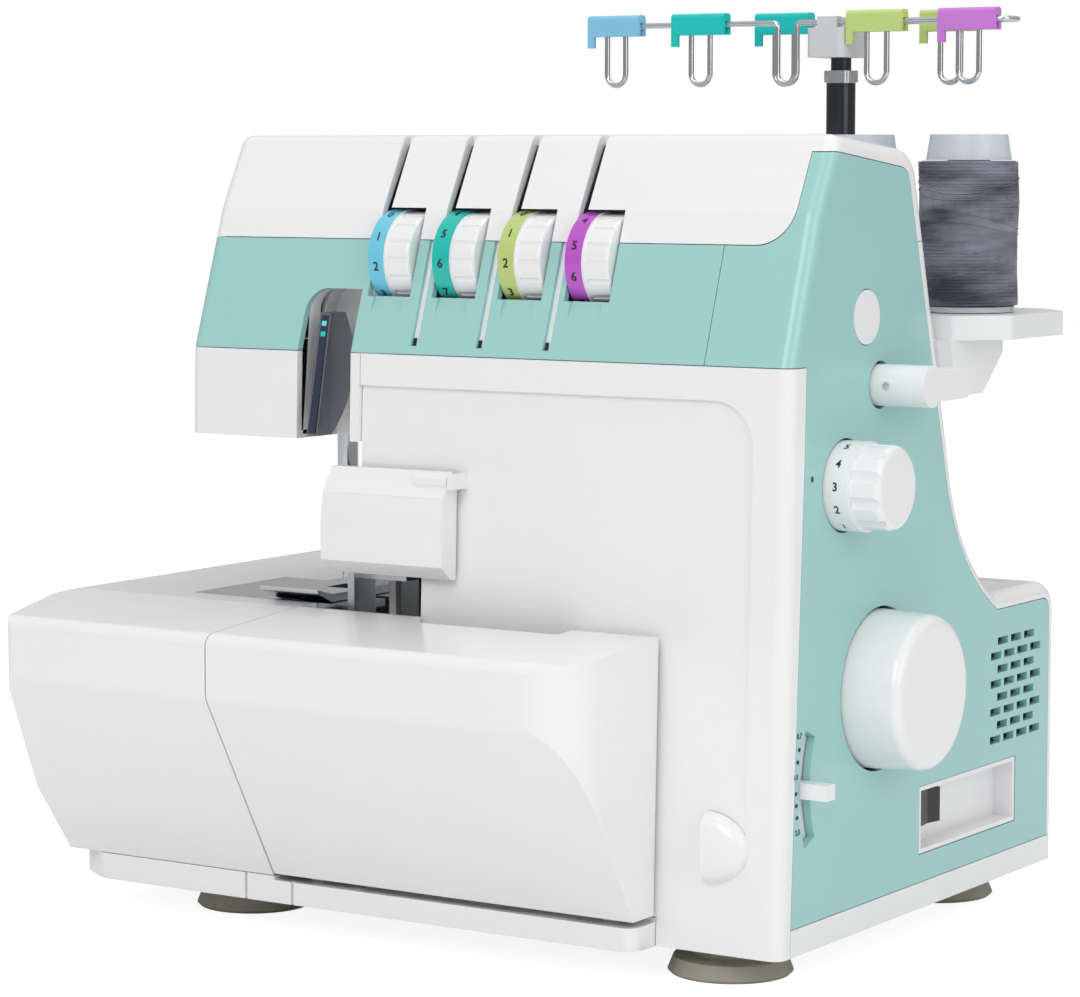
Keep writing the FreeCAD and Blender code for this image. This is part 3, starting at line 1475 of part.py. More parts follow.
def make_side_controls():
    """Stitch length dial, blanking plug, presser lifter and differential feed lever."""
    inner, step = S.right_face - S.dial_sink, S.right_face + S.dial_rim
    outer = step + S.dial_grip
    dial = revolve("stitch_length_dial", [
        (S.upright_right, 0 * S.wall), (S.upright_right, S.dial_stem),
        (inner, S.dial_stem), (inner, S.dial_radius),
        (step, S.dial_radius), (step, S.dial_grip_radius),
        (outer, S.dial_grip_radius, S.cover_wall), (outer, 0 * S.wall)],
        "X", y=S.dial_y, z=S.dial_z)
    flute(dial, S.flute_count, S.flute_out, S.flute_radius, step, outer + S.wall)
    node(dial, "stitch_length_dial")
    node(revolve("side_plug", [
        (S.right_face - S.wall - S.plug_thick, 0 * S.wall),
        (S.right_face - S.wall - S.plug_thick, S.plug_rim),
        (S.right_face - S.wall, S.plug_rim), (S.right_face - S.wall, S.plug_radius),
        (S.right_face + S.seam, S.plug_radius), (S.right_face + S.seam, 0 * S.wall)],
        "X", y=S.plug_y, z=S.plug_z), "side_plug")
    make_presser_lifter()
    make_feed_lever()


def make_presser_lifter():
    """Lifter: a shaft through the arm, a hub with a screw hole, a rear blade and a lifting finger."""
    centre = (S.lifter_y, S.lifter_z)
    inner = S.right_face + S.lifter_stand
    outer = inner + S.lifter_blade
    shaft = rod("lifter_shaft", "X", centre, S.lifter_shaft, S.lifter_shaft_left, outer)
    hub = rod("lifter_hub", "X", centre, S.lifter_hub, S.right_face - S.wall * 2, outer)
    low, high = S.lifter_z - S.lifter_tip, S.lifter_z + S.lifter_tip
    blade = pad("lifter_blade", "YZ", [
        (S.lifter_y - S.lifter_hub / 2, low, S.lifter_tip / 2),
        (S.lifter_reach, low, S.lifter_end),
        (S.lifter_reach, high, S.lifter_end),
        (S.lifter_y - S.lifter_hub / 2, high, S.lifter_tip / 2)], inner, outer)
    front = S.lifter_y - S.lifter_hub
    screw = rod("lifter_screw_hole", "Y", (inner - S.lifter_stand / 2, S.lifter_z), S.screw_radius,
                front - S.wall, front + S.screw_depth)
    finger = box("lifter_finger", (S.lifter_shaft_left, S.lifter_shaft_left + S.finger_width),
                 (S.lifter_y, S.lifter_y + S.finger_reach),
                 (S.lifter_z - S.lifter_shaft, S.lifter_z + S.lifter_shaft))
    whole = union("lifter_whole", shaft, hub, blade, finger)
    node(cut("presser_lifter", whole, screw), "presser_lifter")


def make_feed_lever():
    """Differential feed lever: boss and arm behind the panel, curved shield and a finger tab."""
    centre = (S.feed_lever_y, S.feed_lever_z)
    left, right = S.feed_arm_left, S.feed_arm_left + S.feed_arm_thick
    shield_right = S.right_face - S.wall - S.rub_gap
    boss = rod("feed_boss", "X", centre, S.feed_boss, left, right)
    arm = box("feed_arm", (left, right), (S.feed_lever_y - S.feed_shield_out + S.wall, S.feed_lever_y),
              (S.feed_lever_z - S.feed_arm_half, S.feed_lever_z + S.feed_arm_half))
    shield = ring_sector("feed_shield", centre, S.feed_shield_in, S.feed_shield_out,
                         S.feed_shield_half, left, shield_right)
    tab = box("feed_tab", (right, S.feed_tab_reach),
              (S.feed_lever_y - S.feed_tab_out, S.feed_lever_y - S.feed_tab_in),
              (S.feed_lever_z - S.feed_tab_thick / 2, S.feed_lever_z + S.feed_tab_thick / 2))
    hole = rod("feed_lever_bore", "X", centre, S.feed_pin + S.run_gap, left - S.wall, right + S.wall)
    whole = union("feed_lever_whole", boss, arm, shield, tab)
    node(cut("differential_lever", whole, hole), "differential_lever")


def make_switch():
    """White switch recess in the side, with the black rocker on its upright pin."""
    left = S.right_face - S.switch_depth
    outside = box("switch_outside", (left, S.right_face - S.seam), (S.switch_front, S.switch_rear),
                  (S.switch_low, S.switch_high))
    inside = box("switch_inside", (left + S.switch_wall, S.right_face + S.wall),
                 (S.switch_front + S.switch_wall, S.switch_rear - S.switch_wall),
                 (S.switch_low + S.switch_wall, S.switch_high - S.switch_wall))
    middle = S.rocker_front + S.rocker_width / 2
    pin_x = left + S.switch_wall + S.rocker_pin * 2
    pin = rod("rocker_pin", "Z", (pin_x, middle), S.rocker_pin,
              S.rocker_low - S.rocker_under, S.switch_high - S.switch_wall)
    ledge = box("rocker_ledge", (left, S.right_face - S.rocker_stand),
                (S.switch_front, S.rocker_front + S.rocker_width + S.switch_wall),
                (S.rocker_low - S.rub_gap - S.switch_wall, S.rocker_low - S.rub_gap))
    cup = cut("switch_cup", outside, inside)
    node(union("switch_recess", cup, pin, ledge), "switch_recess")
    lift = S.rocker_stand - S.switch_wall
    rocker = pad("rocker_block", "XY", [
        (pin_x - S.rocker_root, S.rocker_front + S.rocker_margin),
        (pin_x - S.rocker_root, S.rocker_front + S.rocker_width - S.rocker_margin),
        (pin_x, S.rocker_front + S.rocker_width),
        (pin_x + lift, S.rocker_front + S.rocker_width),
        (pin_x + lift - S.rocker_pin, middle),
        (pin_x + lift - S.rocker_dip, S.rocker_front),
        (pin_x, S.rocker_front)], S.rocker_low, S.rocker_high)
    hole = rod("rocker_bore", "Z", (pin_x, middle), S.rocker_pin + S.run_gap,
               S.rocker_low - S.wall, S.rocker_high + S.wall)
    node(cut("power_rocker", rocker, hole), "power_rocker")


# Tension dials on one axle


def make_tension():
    """Axle, four dials with a number band and a fluted grip, and a pair of discs by each dial."""
    centre = (S.tension_y, S.tension_z)
    hole = S.tension_axle + S.run_gap
    node(rod("tension_axle", "X", centre, S.tension_axle, S.axle_left, S.axle_right), "tension_axle")
    discs = []
    for i in DIALS:
        left = tension_left(i)
        right = left + S.tension_width
        step = left + S.tension_band
        dial = revolve("tension_dial", [
            (left, hole), (left, S.tension_radius), (step, S.tension_radius),
            (step, S.tension_grip), (right, S.tension_grip, S.knob_round), (right, hole)],
            "X", y=S.tension_y, z=S.tension_z)
        flute(dial, S.tension_flute_count, S.tension_grip + S.tension_flute / 2, S.tension_flute,
              step + S.wall / 2, right + S.wall)
        node(dial, f"tension_dial_{i + 1}")
        for shift in (0 * S.wall, S.disc_thick + S.seam):
            start = left + S.disc_start + shift
            discs.append(revolve("tension_disc", [
                (start, S.tension_axle), (start, S.disc_radius),
                (start + S.disc_thick, S.disc_radius), (start + S.disc_thick, S.tension_axle)],
                "X", y=S.tension_y, z=S.tension_z))
    node(group("tension_discs", discs), "tension_discs")


# Needle drive, presser foot, loopers and knife


def make_needle_bar():
    """Needle bar, its clamp and two needles with tapered points."""
    centre = (S.needle_x, S.needle_y)
    node(rod("needle_bar", "Z", centre, S.bar_radius, S.needle_bar_low, S.needle_bar_high),
         "needle_bar")
    block = pad("clamp_block", "XY", [
        (S.needle_x - S.clamp_half, S.needle_y - S.clamp_half, S.clamp_round),
        (S.needle_x + S.clamp_half, S.needle_y - S.clamp_half, S.clamp_round),
        (S.needle_x + S.clamp_half, S.needle_y + S.clamp_half, S.clamp_round),
        (S.needle_x - S.clamp_half, S.needle_y + S.clamp_half, S.clamp_round)],
        S.clamp_low, S.clamp_high)
    socket = rod("clamp_socket", "Z", centre, S.bar_radius, S.needle_bar_low, S.clamp_high + S.wall)
    shanks = [S.needle_x - S.needle_pitch / 2, S.needle_x + S.needle_pitch / 2]
    top = S.clamp_low + S.clamp_half
    holes = [rod("needle_hole", "Z", (x, S.needle_y), S.needle_radius, S.clamp_low - S.wall, top)
             for x in shanks]
    node(cut("needle_clamp", block, socket, *holes), "needle_clamp")
    needles = [revolve("needle", [
        (S.needle_tip, 0 * S.wall), (S.needle_tip, S.needle_point),
        (S.needle_tip + S.needle_taper, S.needle_radius),
        (top, S.needle_radius), (top, 0 * S.wall)], "Z", x=x, y=S.needle_y) for x in shanks]
    node(group("needles", needles), "needles")


def make_presser():
    """Presser bar with its lifting ledge, and the foot with an upturned toe and needle slot."""
    centre = (S.needle_x, S.presser_y)
    bar = rod("presser_rod", "Z", centre, S.bar_radius, S.presser_low, S.presser_high)
    ledge = box("presser_ledge", (S.needle_x - S.clamp_half, S.lifter_shaft_left + S.finger_width),
                (S.presser_y - S.clamp_half, S.ledge_rear), (S.ledge_low, S.ledge_high))
    node(union("presser_bar", bar, ledge), "presser_bar")
    low = S.bed_top + S.seam
    sole = pad("sole_side", "YZ", [
        (S.foot_tip, low + S.toe_rise),
        (S.foot_tip + S.toe_length, low),
        (S.foot_heel, low),
        (S.foot_heel, low + S.foot_thick),
        (S.foot_tip + S.toe_length, low + S.foot_thick),
        (S.foot_tip, low + S.toe_rise + S.foot_thick / 2)], S.foot_left_edge, S.foot_right_edge)
    slot = box("foot_slot", (S.needle_x - S.clamp_half, S.needle_x + S.clamp_half),
               (S.needle_y - S.clamp_half, S.needle_y + S.clamp_half), (low - S.wall, S.ankle_high))
    ankle = box("ankle", (S.needle_x - S.ankle_half, S.needle_x + S.ankle_half),
                (S.presser_y - S.ankle_half, S.presser_y + S.ankle_half),
                (low + S.foot_thick / 2, S.ankle_high))
    socket = rod("ankle_socket", "Z", centre, S.bar_radius, S.presser_low, S.ankle_high + S.wall)
    whole = union("foot_whole", cut("sole", sole, slot), ankle)
    node(cut("presser_foot", whole, socket), "presser_foot")


def make_take_up_lever():
    """Bent-sheet take-up lever: a slanted channel with a curved back, on its own pin."""
    left = S.take_up_left
    right = left + S.take_up_width
    front_low, front_high = S.front_foot + S.wall, S.front_band_low + S.take_up_lean
    low, high = S.arm_bottom + S.wall / 2, S.recess_high - S.recess_round
    back = S.recess_rear - S.wall

    def side(name, inset, from_x, to_x):
        return pad(name, "YZ", [
            (front_low + inset, low - inset / 2),
            (front_low + S.take_up_hook, low - inset / 2),
            (back + inset, S.take_up_z, None, S.take_up_low_curve),
            (front_high + S.take_up_hook, high + inset / 2, None, S.take_up_curve),
            (front_high + inset, high + inset / 2)], from_x, to_x)
    channel = cut("take_up_channel", side("take_up_outside", 0 * S.wall, left, right),
                  side("take_up_inside", S.take_up_sheet, left + S.take_up_sheet,
                       right - S.take_up_sheet))
    pin = rod("take_up_pin", "X", (S.take_up_y, S.take_up_z), S.take_up_pin,
              S.recess_left - S.lining, right)
    node(union("take_up_lever", channel, pin), "take_up_lever")


def looper(name, x, y, z, beak_side):
    """Flat looper: hub on its pin, upright arm and a pointed beak to one side."""
    hub_rear = S.looper_bracket_front - S.seam
    hub = rod(name + "_hub", "Y", (x, z), S.looper_hub, y - S.looper_thick / 2, hub_rear)
    top = z + S.looper_reach
    left, right = x - S.looper_arm_half, x + S.looper_arm_half
    blade = pad(name + "_blade", "XZ", [
        (left, z), (right, z), (right, top - S.looper_hub),
        (right + S.looper_beak * max(beak_side, 0), top),
        (left + S.looper_beak * min(beak_side, 0), top + S.seam),
        (left, top - S.looper_hub)], y - S.looper_thick / 2, y + S.looper_thick / 2)
    bore = rod(name + "_bore", "Y", (x, z), S.looper_pin + S.run_gap, y - S.wall * 2, hub_rear + S.wall)
    node(cut(name, union(name + "_whole", hub, blade), bore), name)


def make_loopers():
    """Lower looper with its beak to the right and upper looper with its beak to the left."""
    looper("lower_looper", S.lower_looper_x, S.lower_looper_y, S.lower_looper_z, 1)
    looper("upper_looper", S.upper_looper_x, S.upper_looper_y, S.upper_looper_z, -1)


def make_feed_dog():
    """Toothed feed bar on a leg that slides on the loopers' bracket."""
    half = (S.feed_right - S.feed_left) / 2 - S.tooth_margin
    middle = (S.feed_left + S.feed_right) / 2
    front, rear = S.feed_front + S.wall, S.feed_rear - S.wall
    teeth = int((rear.value - front.value) / number(S.tooth_pitch))
    outline = [(front, S.feed_bar_low), (rear, S.feed_bar_low), (rear, S.feed_bar_high)]
    for i in range(teeth):
        start = rear - S.tooth_pitch * i
        outline.append((start - S.tooth_lean, S.feed_bar_high + S.tooth_rise))
        outline.append((start - S.tooth_pitch, S.feed_bar_high))
    bar = pad("feed_bar", "YZ", outline + [(front, S.feed_bar_high)], middle - half, middle + half)
    leg = box("feed_leg", (middle - half, middle + half), (rear - S.feed_leg, rear + S.wall),
              (S.looper_bracket_high + S.rub_gap, S.feed_bar_low + S.wall))
    node(union("feed_dog", bar, leg), "feed_dog")


def make_upper_knife():
    """Upper knife with a slanted edge, on an arm that slides on the frame's rib."""
    right = S.knife_left + S.knife_thick
    rear = S.rib_front - S.rub_gap
    blade = pad("knife_blade", "YZ", [
        (S.knife_front, S.knife_low + S.wall * 2), (rear, S.knife_low),
        (rear, S.knife_high), (S.knife_front, S.knife_high)], S.knife_left, right)
    arm = box("knife_arm", (S.knife_left, S.knife_slide_right),
              (S.knife_front + S.wall * 2, rear), (S.knife_arm_low, S.knife_high))
    slide = box("knife_slide", (S.upright_left, S.knife_slide_right),
                (S.knife_front + S.wall * 2, rear),
                (S.knife_arm_low, S.knife_high + S.wall * 2))
    node(union("upper_knife", blade, arm, slide), "upper_knife")


def make_knife_guard():
    """White bulged finger guard that swings up on a pin at the front wall."""
    def skin(name, inset, left, right):
        rear_low = front_wall(S.guard_low) - S.rub_gap
        rear_high = front_wall(S.guard_high) - S.rub_gap
        return pad(name, "YZ", [
            (rear_low - S.wall + inset, S.guard_low - inset / 2),
            (rear_low - S.guard_bulge + inset, S.guard_low + S.guard_lean - inset / 2),
            (rear_high - S.guard_bulge + inset, S.guard_high - S.guard_bulge - inset, None,
             -S.guard_curve),
            (rear_high - S.wall, S.guard_high - inset),
            (rear_high + inset * 2, S.guard_high - inset),
            (rear_low + inset * 2, S.guard_low - inset / 2)], left, right)
    outside = skin("guard_outside", 0 * S.wall, S.guard_left, S.guard_right)
    inside = skin("guard_inside", S.guard_wall, S.guard_left + S.guard_wall,
                  S.guard_right - S.guard_wall)
    centre = (S.guard_pin_y, S.guard_pin_z)
    barrel = rod("guard_barrel", "X", centre, S.guard_barrel, S.guard_barrel_left, S.guard_right)
    bore = rod("guard_bore", "X", centre, S.guard_pin + S.run_gap, S.guard_left + S.guard_wall,
               S.guard_right + S.wall)
    whole = union("guard_whole", cut("guard_shell", outside, inside), barrel)
    node(cut("knife_guard", whole, bore), "knife_guard")


def make_lamp_lens():
    """Clear lens of the sewing light, let into the arm's underside."""
    pane = box("lamp_lens", (S.lamp_left + S.seam, S.lamp_right - S.seam),
               (S.lamp_front + S.seam, S.lamp_rear - S.seam),
               (S.arm_bottom, S.arm_bottom + S.lamp_thick))
    node(pane, "lamp_lens")


# Thread stand


def rear_wall(height):
    """Y of the upper rear wall at a height between the neck and the top."""
    lean = (S.rear_neck - S.rear_top) / (S.top_rear_height - S.neck_height)
    return S.rear_neck - lean * (height - S.neck_height)


def make_stand():
    """Bracket on the rear wall, spool tray with four pins, and the telescopic rod."""
    node(pad("spool_bracket", "YZ", [
        (rear_wall(S.tray_low) + S.seam, S.tray_low),
        (S.bracket_rear, S.tray_low),
        (S.bracket_rear, S.tray_low - S.wall * 2),
        (S.bracket_rear - S.bracket_lean, S.bracket_low),
        (rear_wall(S.bracket_low) + S.seam, S.bracket_low)],
        S.bracket_left, S.bracket_right), "spool_bracket")
    plan = [
        (S.tray_left, S.tray_front, S.wall),
        (S.tray_right - S.tray_corner, S.tray_front, S.wall),
        (S.tray_right, S.tray_front + S.tray_corner, S.wall),
        (S.tray_right, S.tray_rear - S.tray_corner, S.wall),
        (S.tray_right - S.tray_corner, S.tray_rear, S.wall),
        (S.tray_left, S.tray_rear, S.wall)]
    slab = pad("tray_slab", "XY", plan, S.tray_low, S.tray_high)
    sink = box("tray_under", (S.tray_left + S.tray_skin, S.tray_right - S.tray_corner - S.tray_skin),
               (S.bracket_rear + S.tray_skin, S.tray_rear - S.tray_skin),
               (S.tray_low - S.wall, S.tray_high - S.tray_skin))
    boss = rod("rod_boss", "Z", (S.rod_x, S.rod_y), S.tube_radius + S.wall, S.tray_low, S.tray_high)
    pins = [rod("spool_pin", "Z", (spool_x(i), S.spool_y), S.pin_radius,
                S.tray_high - S.tray_skin, S.pin_high) for i in DIALS]
    hole = rod("tube_hole", "Z", (S.rod_x, S.rod_y), S.tube_radius, S.tray_low - S.wall,
               S.tray_high + S.wall)
    whole = union("tray_whole", cut("tray_shell", slab, sink), boss, *pins)
    node(cut("spool_tray", whole, hole), "spool_tray")
    spot = {"x": S.rod_x, "y": S.rod_y}
    node(revolve("outer_rod", [
        (S.tube_low, 0 * S.wall), (S.tube_low, S.tube_radius), (S.ring_low, S.tube_radius),
        (S.ring_low, S.ring_radius), (S.tube_high, S.ring_radius),
        (S.tube_high, S.tube_bore + S.run_gap), (S.inner_low - S.wall, S.tube_bore + S.run_gap),
        (S.inner_low - S.wall, 0 * S.wall)], "Z", **spot), "outer_rod")
    node(rod("inner_rod", "Z", (S.rod_x, S.rod_y), S.tube_bore, S.inner_low, S.inner_high),
         "inner_rod")


def spool_x(index):
    """Middle of one spool, counted from the right."""
    return S.spool_first - S.spool_pitch * index


def make_spools():
    """Four spools: moulded cores, and on each a plain wound body under one outer layer of turns."""
    cores, grey, white = [], [], []
    hole = S.pin_radius + S.strand_gap
    base = S.tray_high + S.seam
    for i in DIALS:
        spot = {"x": spool_x(i), "y": S.spool_y}
        floor = base + S.spool_base
        cores.append(revolve("spool_core", [
            (base, hole), (base, S.spool_flange), (floor, S.spool_flange),
            (floor, S.spool_barrel), (S.collar_low, S.spool_barrel),
            (S.collar_low, S.collar_radius), (S.spool_high, S.collar_radius - S.wall / 2),
            (S.spool_high, hole)], "Z", **spot))
        low, high = floor + S.seam, S.collar_low - S.seam
        wound = revolve("wound_body", [
            (low, S.spool_barrel + S.strand_gap), (low, S.thread_radius),
            (high, S.thread_radius), (high, S.spool_barrel + S.strand_gap)], "Z", **spot)
        turns = outer_turns(S.grey_turns if i == 0 else S.white_turns, low, high)
        turns.Placement = FreeCAD.Placement(
            FreeCAD.Vector(number(spot["x"]), number(spot["y"]), 0), FreeCAD.Rotation())
        (white if i else grey).extend([wound, turns])
    node(group("spool_cores", cores), "spool_cores")
    node(group("grey_thread", grey), "grey_thread")
    node(group("white_threads", white), "white_threads")


FIRST_STEP = 0.01  # share of a quarter turn that gives a helix its first direction


def outer_turns(count, low, high):
    """Outer layer of thread as one tube: a helix of quarter-turn arcs round the wound body."""
    radius = number(S.thread_radius + S.strand_gap + S.strand_radius)
    strand = number(S.strand_radius)
    quarters = 4 * int(number(count))
    start, end = number(low) + strand, number(high) - strand

    def spot(quarter):
        turn = math.pi / 2 * quarter
        rise = start + (end - start) * quarter / quarters
        return FreeCAD.Vector(radius * math.cos(turn), radius * math.sin(turn), rise)
    path = Part.Wire([Part.Arc(spot(q), spot(q + 0.5), spot(q + 1)).toShape()
                      for q in range(quarters)])
    ring = Part.Circle(spot(0), spot(FIRST_STEP) - spot(0), strand)
    pipe = Part.BRepOffsetAPI.MakePipeShell(path)
    pipe.add(Part.Wire([ring.toShape()]))
    pipe.build()
    pipe.makeSolid()
    turns = doc.addObject("Part::Feature", "outer_turns")
    turns.Shape = pipe.shape()
    gap = (end - start) / int(number(count)) - 2 * strand
    print("outer turns:", int(number(count)), "least gap", round(gap, 3))
    return turns


LOOPS = steps(S.loop_count)


def make_guide():
    """Guide head on the inner rod, one bent wire with seven loops, and its coloured clips."""
    half = S.guide_block / 2
    head = pad("guide_block", "XY", [
        (S.rod_x - half, S.guide_block_front, S.wall), (S.rod_x + half, S.guide_block_front, S.wall),
        (S.rod_x + half, S.guide_block_rear, S.wall), (S.rod_x - half, S.guide_block_rear, S.wall)],
        S.guide_block_low, S.guide_block_high)
    ears = [box("wire_ear", (S.rod_x - half / 2, S.rod_x + half / 2),
                (y - S.wire_radius * 2, y + S.wire_radius * 2),
                (S.guide_block_high, S.wire_z + S.wire_radius * 2))
            for y in (S.wire_front, S.wire_rear)]
    bores = [rod("wire_bore", "X", (y, S.wire_z), S.wire_radius, S.wire_left, S.wire_right)
             for y in (S.wire_front, S.wire_rear)]
    socket = rod("head_socket", "Z", (S.rod_x, S.rod_y), S.tube_bore, S.guide_block_low - S.wall,
                 S.inner_high)
    node(cut("guide_head", union("guide_whole", head, *ears), socket, *bores), "guide_head")
    wire = doc.addObject("Part::Feature", "guide_wire")
    wire.Shape = bent_wire(guide_route(), number(S.wire_radius))
    node(wire, "guide_wire")
    front = [S.loop_first + S.loop_pitch * i for i in LOOPS]
    node(clip("blue_clip", front[0], S.wire_front), "blue_clip")
    node(group("teal_clips", [clip("teal_clip", front[1], S.wire_front),
                              clip("teal_clip", S.rear_loop_left, S.wire_rear)]), "teal_clips")
    node(group("lime_clips", [clip("lime_clip", front[3], S.wire_front),
                              clip("lime_clip", S.rear_loop_right, S.wire_rear)]), "lime_clips")
    node(clip("violet_clip", front[4], S.wire_front), "violet_clip")


def guide_route():
    """Corners of the guide wire with their bend radii: front run, hairpin, rear run."""
    route = [((S.wire_left, S.wire_front, S.wire_z), None)]

    def loop(x, y, heading):
        near, far = x - S.loop_half * heading, x + S.loop_half * heading
        route.append(((near, y, S.wire_z), S.loop_bend))
        route.append(((near, y, S.loop_low), S.loop_half))
        route.append(((far, y, S.loop_low), S.loop_half))
        route.append(((far, y, S.wire_z), S.loop_bend))
    for i in LOOPS:
        loop(S.loop_first + S.loop_pitch * i, S.wire_front, 1)
    route.append(((S.wire_right, S.wire_front, S.wire_z), S.hairpin_bend))
    route.append(((S.wire_right, S.wire_rear, S.wire_z), S.hairpin_bend))
    loop(S.rear_loop_right, S.wire_rear, -1)
    loop(S.rear_loop_left, S.wire_rear, -1)
    route.append(((S.wire_rear_left, S.wire_rear, S.wire_z), None))
    return route


BEND_EASE = 0.999  # keeps two bends that meet from using up the run between them
SHORTEST = 0.001  # mm, runs shorter than this are left out


def bent_wire(route, radius):
    """Round wire along straight runs joined by tangent arcs of the stated bend radii."""
    points = [FreeCAD.Vector(*[number(c) for c in corner]) for corner, bend in route]
    bends = [None if bend is None else number(bend) * BEND_EASE for corner, bend in route]
    edges = []
    at = points[0]
    for i in range(1, len(points) - 1):
        back = (points[i - 1] - points[i]).normalize()
        ahead = (points[i + 1] - points[i]).normalize()
        half = back.getAngle(ahead) / 2
        reach = bends[i] / math.tan(half)
        start, end = points[i] + back * reach, points[i] + ahead * reach
        centre = points[i] + (back + ahead).normalize() * (bends[i] / math.sin(half))
        middle = centre + (points[i] - centre).normalize() * bends[i]
        if (start - at).Length > SHORTEST:
            edges.append(Part.makeLine(at, start))
        edges.append(Part.Arc(start, middle, end).toShape())
        at = end
    edges.append(Part.makeLine(at, points[-1]))
    path = Part.Wire(edges)
    ring = Part.Wire([Part.Circle(points[0], points[1] - points[0], radius).toShape()])
    pipe = Part.BRepOffsetAPI.MakePipeShell(path)
    pipe.add(ring)
    pipe.build()
    pipe.makeSolid()
    solid = pipe.shape()
    print("guide wire: volume over section times length",
          round(solid.Volume / (math.pi * radius ** 2 * path.Length), 4))
    return solid


def clip(name, x, y):
    """Channel clip over the wire above a loop, with a small tab at its left end."""
    half = S.clip_long / 2
    inner = S.wire_radius + S.strand_gap
    outer = inner + S.clip_wall
    ceiling = S.wire_z + S.wire_radius + S.strand_gap
    channel = pad(name + "_channel", "YZ", [
        (y - outer, S.clip_low), (y - inner, S.clip_low), (y - inner, ceiling),
        (y + inner, ceiling), (y + inner, S.clip_low), (y + outer, S.clip_low),
        (y + outer, S.clip_high, S.clip_wall), (y - outer, S.clip_high, S.clip_wall)],
        x - half, x + half)
    tab = box(name + "_tab", (x - half, x - half + S.clip_tab), (y - outer, y - inner),
              (S.clip_tab_low, S.clip_low + S.clip_wall))
    return union(name, channel, tab)


make_front_housing()
make_arm_top_cover()
make_arm_front_panel()
make_face_cover()
make_rear_housing()
make_power_inlet()
make_right_side_cover()
make_base_tray()
make_feet()
make_looper_cover()
make_cloth_plate_cover()
make_bed_housing()
make_needle_plate()
make_main_frame()
make_drive()
make_side_controls()
make_switch()
make_tension()
make_needle_bar()
make_presser()
make_take_up_lever()
make_loopers()
make_feed_dog()
make_upper_knife()
make_knife_guard()
make_lamp_lens()
make_stand()
make_spools()
make_guide()


def write_parts():
    """Checks every object and writes each sub-part to its own file."""
    doc.recompute()
    for item in doc.Objects:
        if "Invalid" in item.State or "Error" in item.State:
            raise ValueError(f"{item.Name}: {item.State}")
    for item in NODES:
        if item.Shape.isNull() or not item.Shape.isValid():
            raise ValueError(f"{item.Label}: no valid shape")
    os.makedirs("parts", exist_ok=True)
    for item in NODES:
        item.Shape.exportStep(f"parts/{item.Label}.step")
    print(len(NODES), "sub-parts")


write_parts()
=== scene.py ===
"""Table-top overlock machine: finishes, wound thread, printed marks and a plain studio.

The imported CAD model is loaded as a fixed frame. Its sub-parts get procedural finishes, the wound
spools are replaced by finer windings, and trim and printed marks are laid on the surfaces.
Lengths are in metres and angles in degrees, unless a name or comment says otherwise.
"""

import json
import math

import bpy
import numpy as np
from mathutils import Color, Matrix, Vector


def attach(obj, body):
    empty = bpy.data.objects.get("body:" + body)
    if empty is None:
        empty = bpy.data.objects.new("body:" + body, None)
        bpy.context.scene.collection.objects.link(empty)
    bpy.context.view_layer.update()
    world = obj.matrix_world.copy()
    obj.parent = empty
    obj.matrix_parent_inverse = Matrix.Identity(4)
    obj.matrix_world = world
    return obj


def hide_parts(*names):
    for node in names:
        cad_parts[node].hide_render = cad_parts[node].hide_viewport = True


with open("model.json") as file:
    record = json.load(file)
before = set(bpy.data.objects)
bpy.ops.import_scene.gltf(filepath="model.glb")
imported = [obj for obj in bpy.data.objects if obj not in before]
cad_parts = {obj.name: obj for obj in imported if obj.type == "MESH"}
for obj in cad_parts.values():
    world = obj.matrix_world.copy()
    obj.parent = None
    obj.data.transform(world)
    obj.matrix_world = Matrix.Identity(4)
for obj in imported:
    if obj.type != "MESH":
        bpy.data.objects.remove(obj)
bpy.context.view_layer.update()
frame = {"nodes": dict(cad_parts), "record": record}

bl_info = {
    "name": "Overlock machine",
    "version": (1, 0, 0),
    "blender": (4, 5, 0),
    "location": "View3D > Sidebar > Overlock",
    "description": "Finishes, wound thread, marks and studio for an overlock machine",
    "category": "Object",
}

# Stretches that draw a noise out along a direction
EVEN = (1.0, 1.0, 1.0)
ALONG_X = (0.1, 1.0, 1.0)
ALONG_Y = (1.0, 0.1, 1.0)
ALONG_Z = (1.0, 1.0, 0.1)
ALONG_TUBE = (1.0, 1.0, 0.05)
ALONG_FIBRE = (0.3, 0.3, 1.0)
ROUND_SPOOL = (1.0, 1.0, 5.0)

# Dials: their figures, the step between them, and the figure at the front with its angle
TENSION_FIGURES = range(10)
TENSION_STEP = -36.0
TENSION_SHOWN = ((2, -9.0), (6, -4.0), (2, -2.0), (6, -16.0))
STITCH_FIGURES = range(1, 6)
STITCH_STEP = 30.0
STITCH_SHOWN = (3, 3.0)

# Lettering: steps of its curves, and how far its outline swells as a share of its size
LETTER_STEPS = 6
LETTER_SWELL = 0.02

# Feed scale: angles of its dots about the lever's axis, and its figures with their Y, Z and size
FEED_DOTS = (15.9, 11.2, -0.6, -5.1, -9.8)
FEED_FIGURES = (("0.7", -0.0703, 0.0893, 0.0028), ("1.0", -0.0728, 0.0752, 0.0026),
                ("2.0", -0.0713, 0.0556, 0.0028))
GROOVES = 3

# Threading dots on the take-up lever, as shares of its strip's length
FIRST_DOT = 0.93
SECOND_DOT = 0.84

# Spools, counted leftwards from the right-hand one
GREY_SPOOL = 0
WHITE_SPOOLS = (1, 2, 3)

# Packed turns of thread, with lengths in strand radii and rates in radians
BODY_CORNER = 3.0
TURN_PITCH = 1.5
TURN_POINTS = 24
STRAND_SIDES = 5
BULGE_RATE = 9.0
WOBBLE = 0.35
WOBBLE_RATE = 0.37

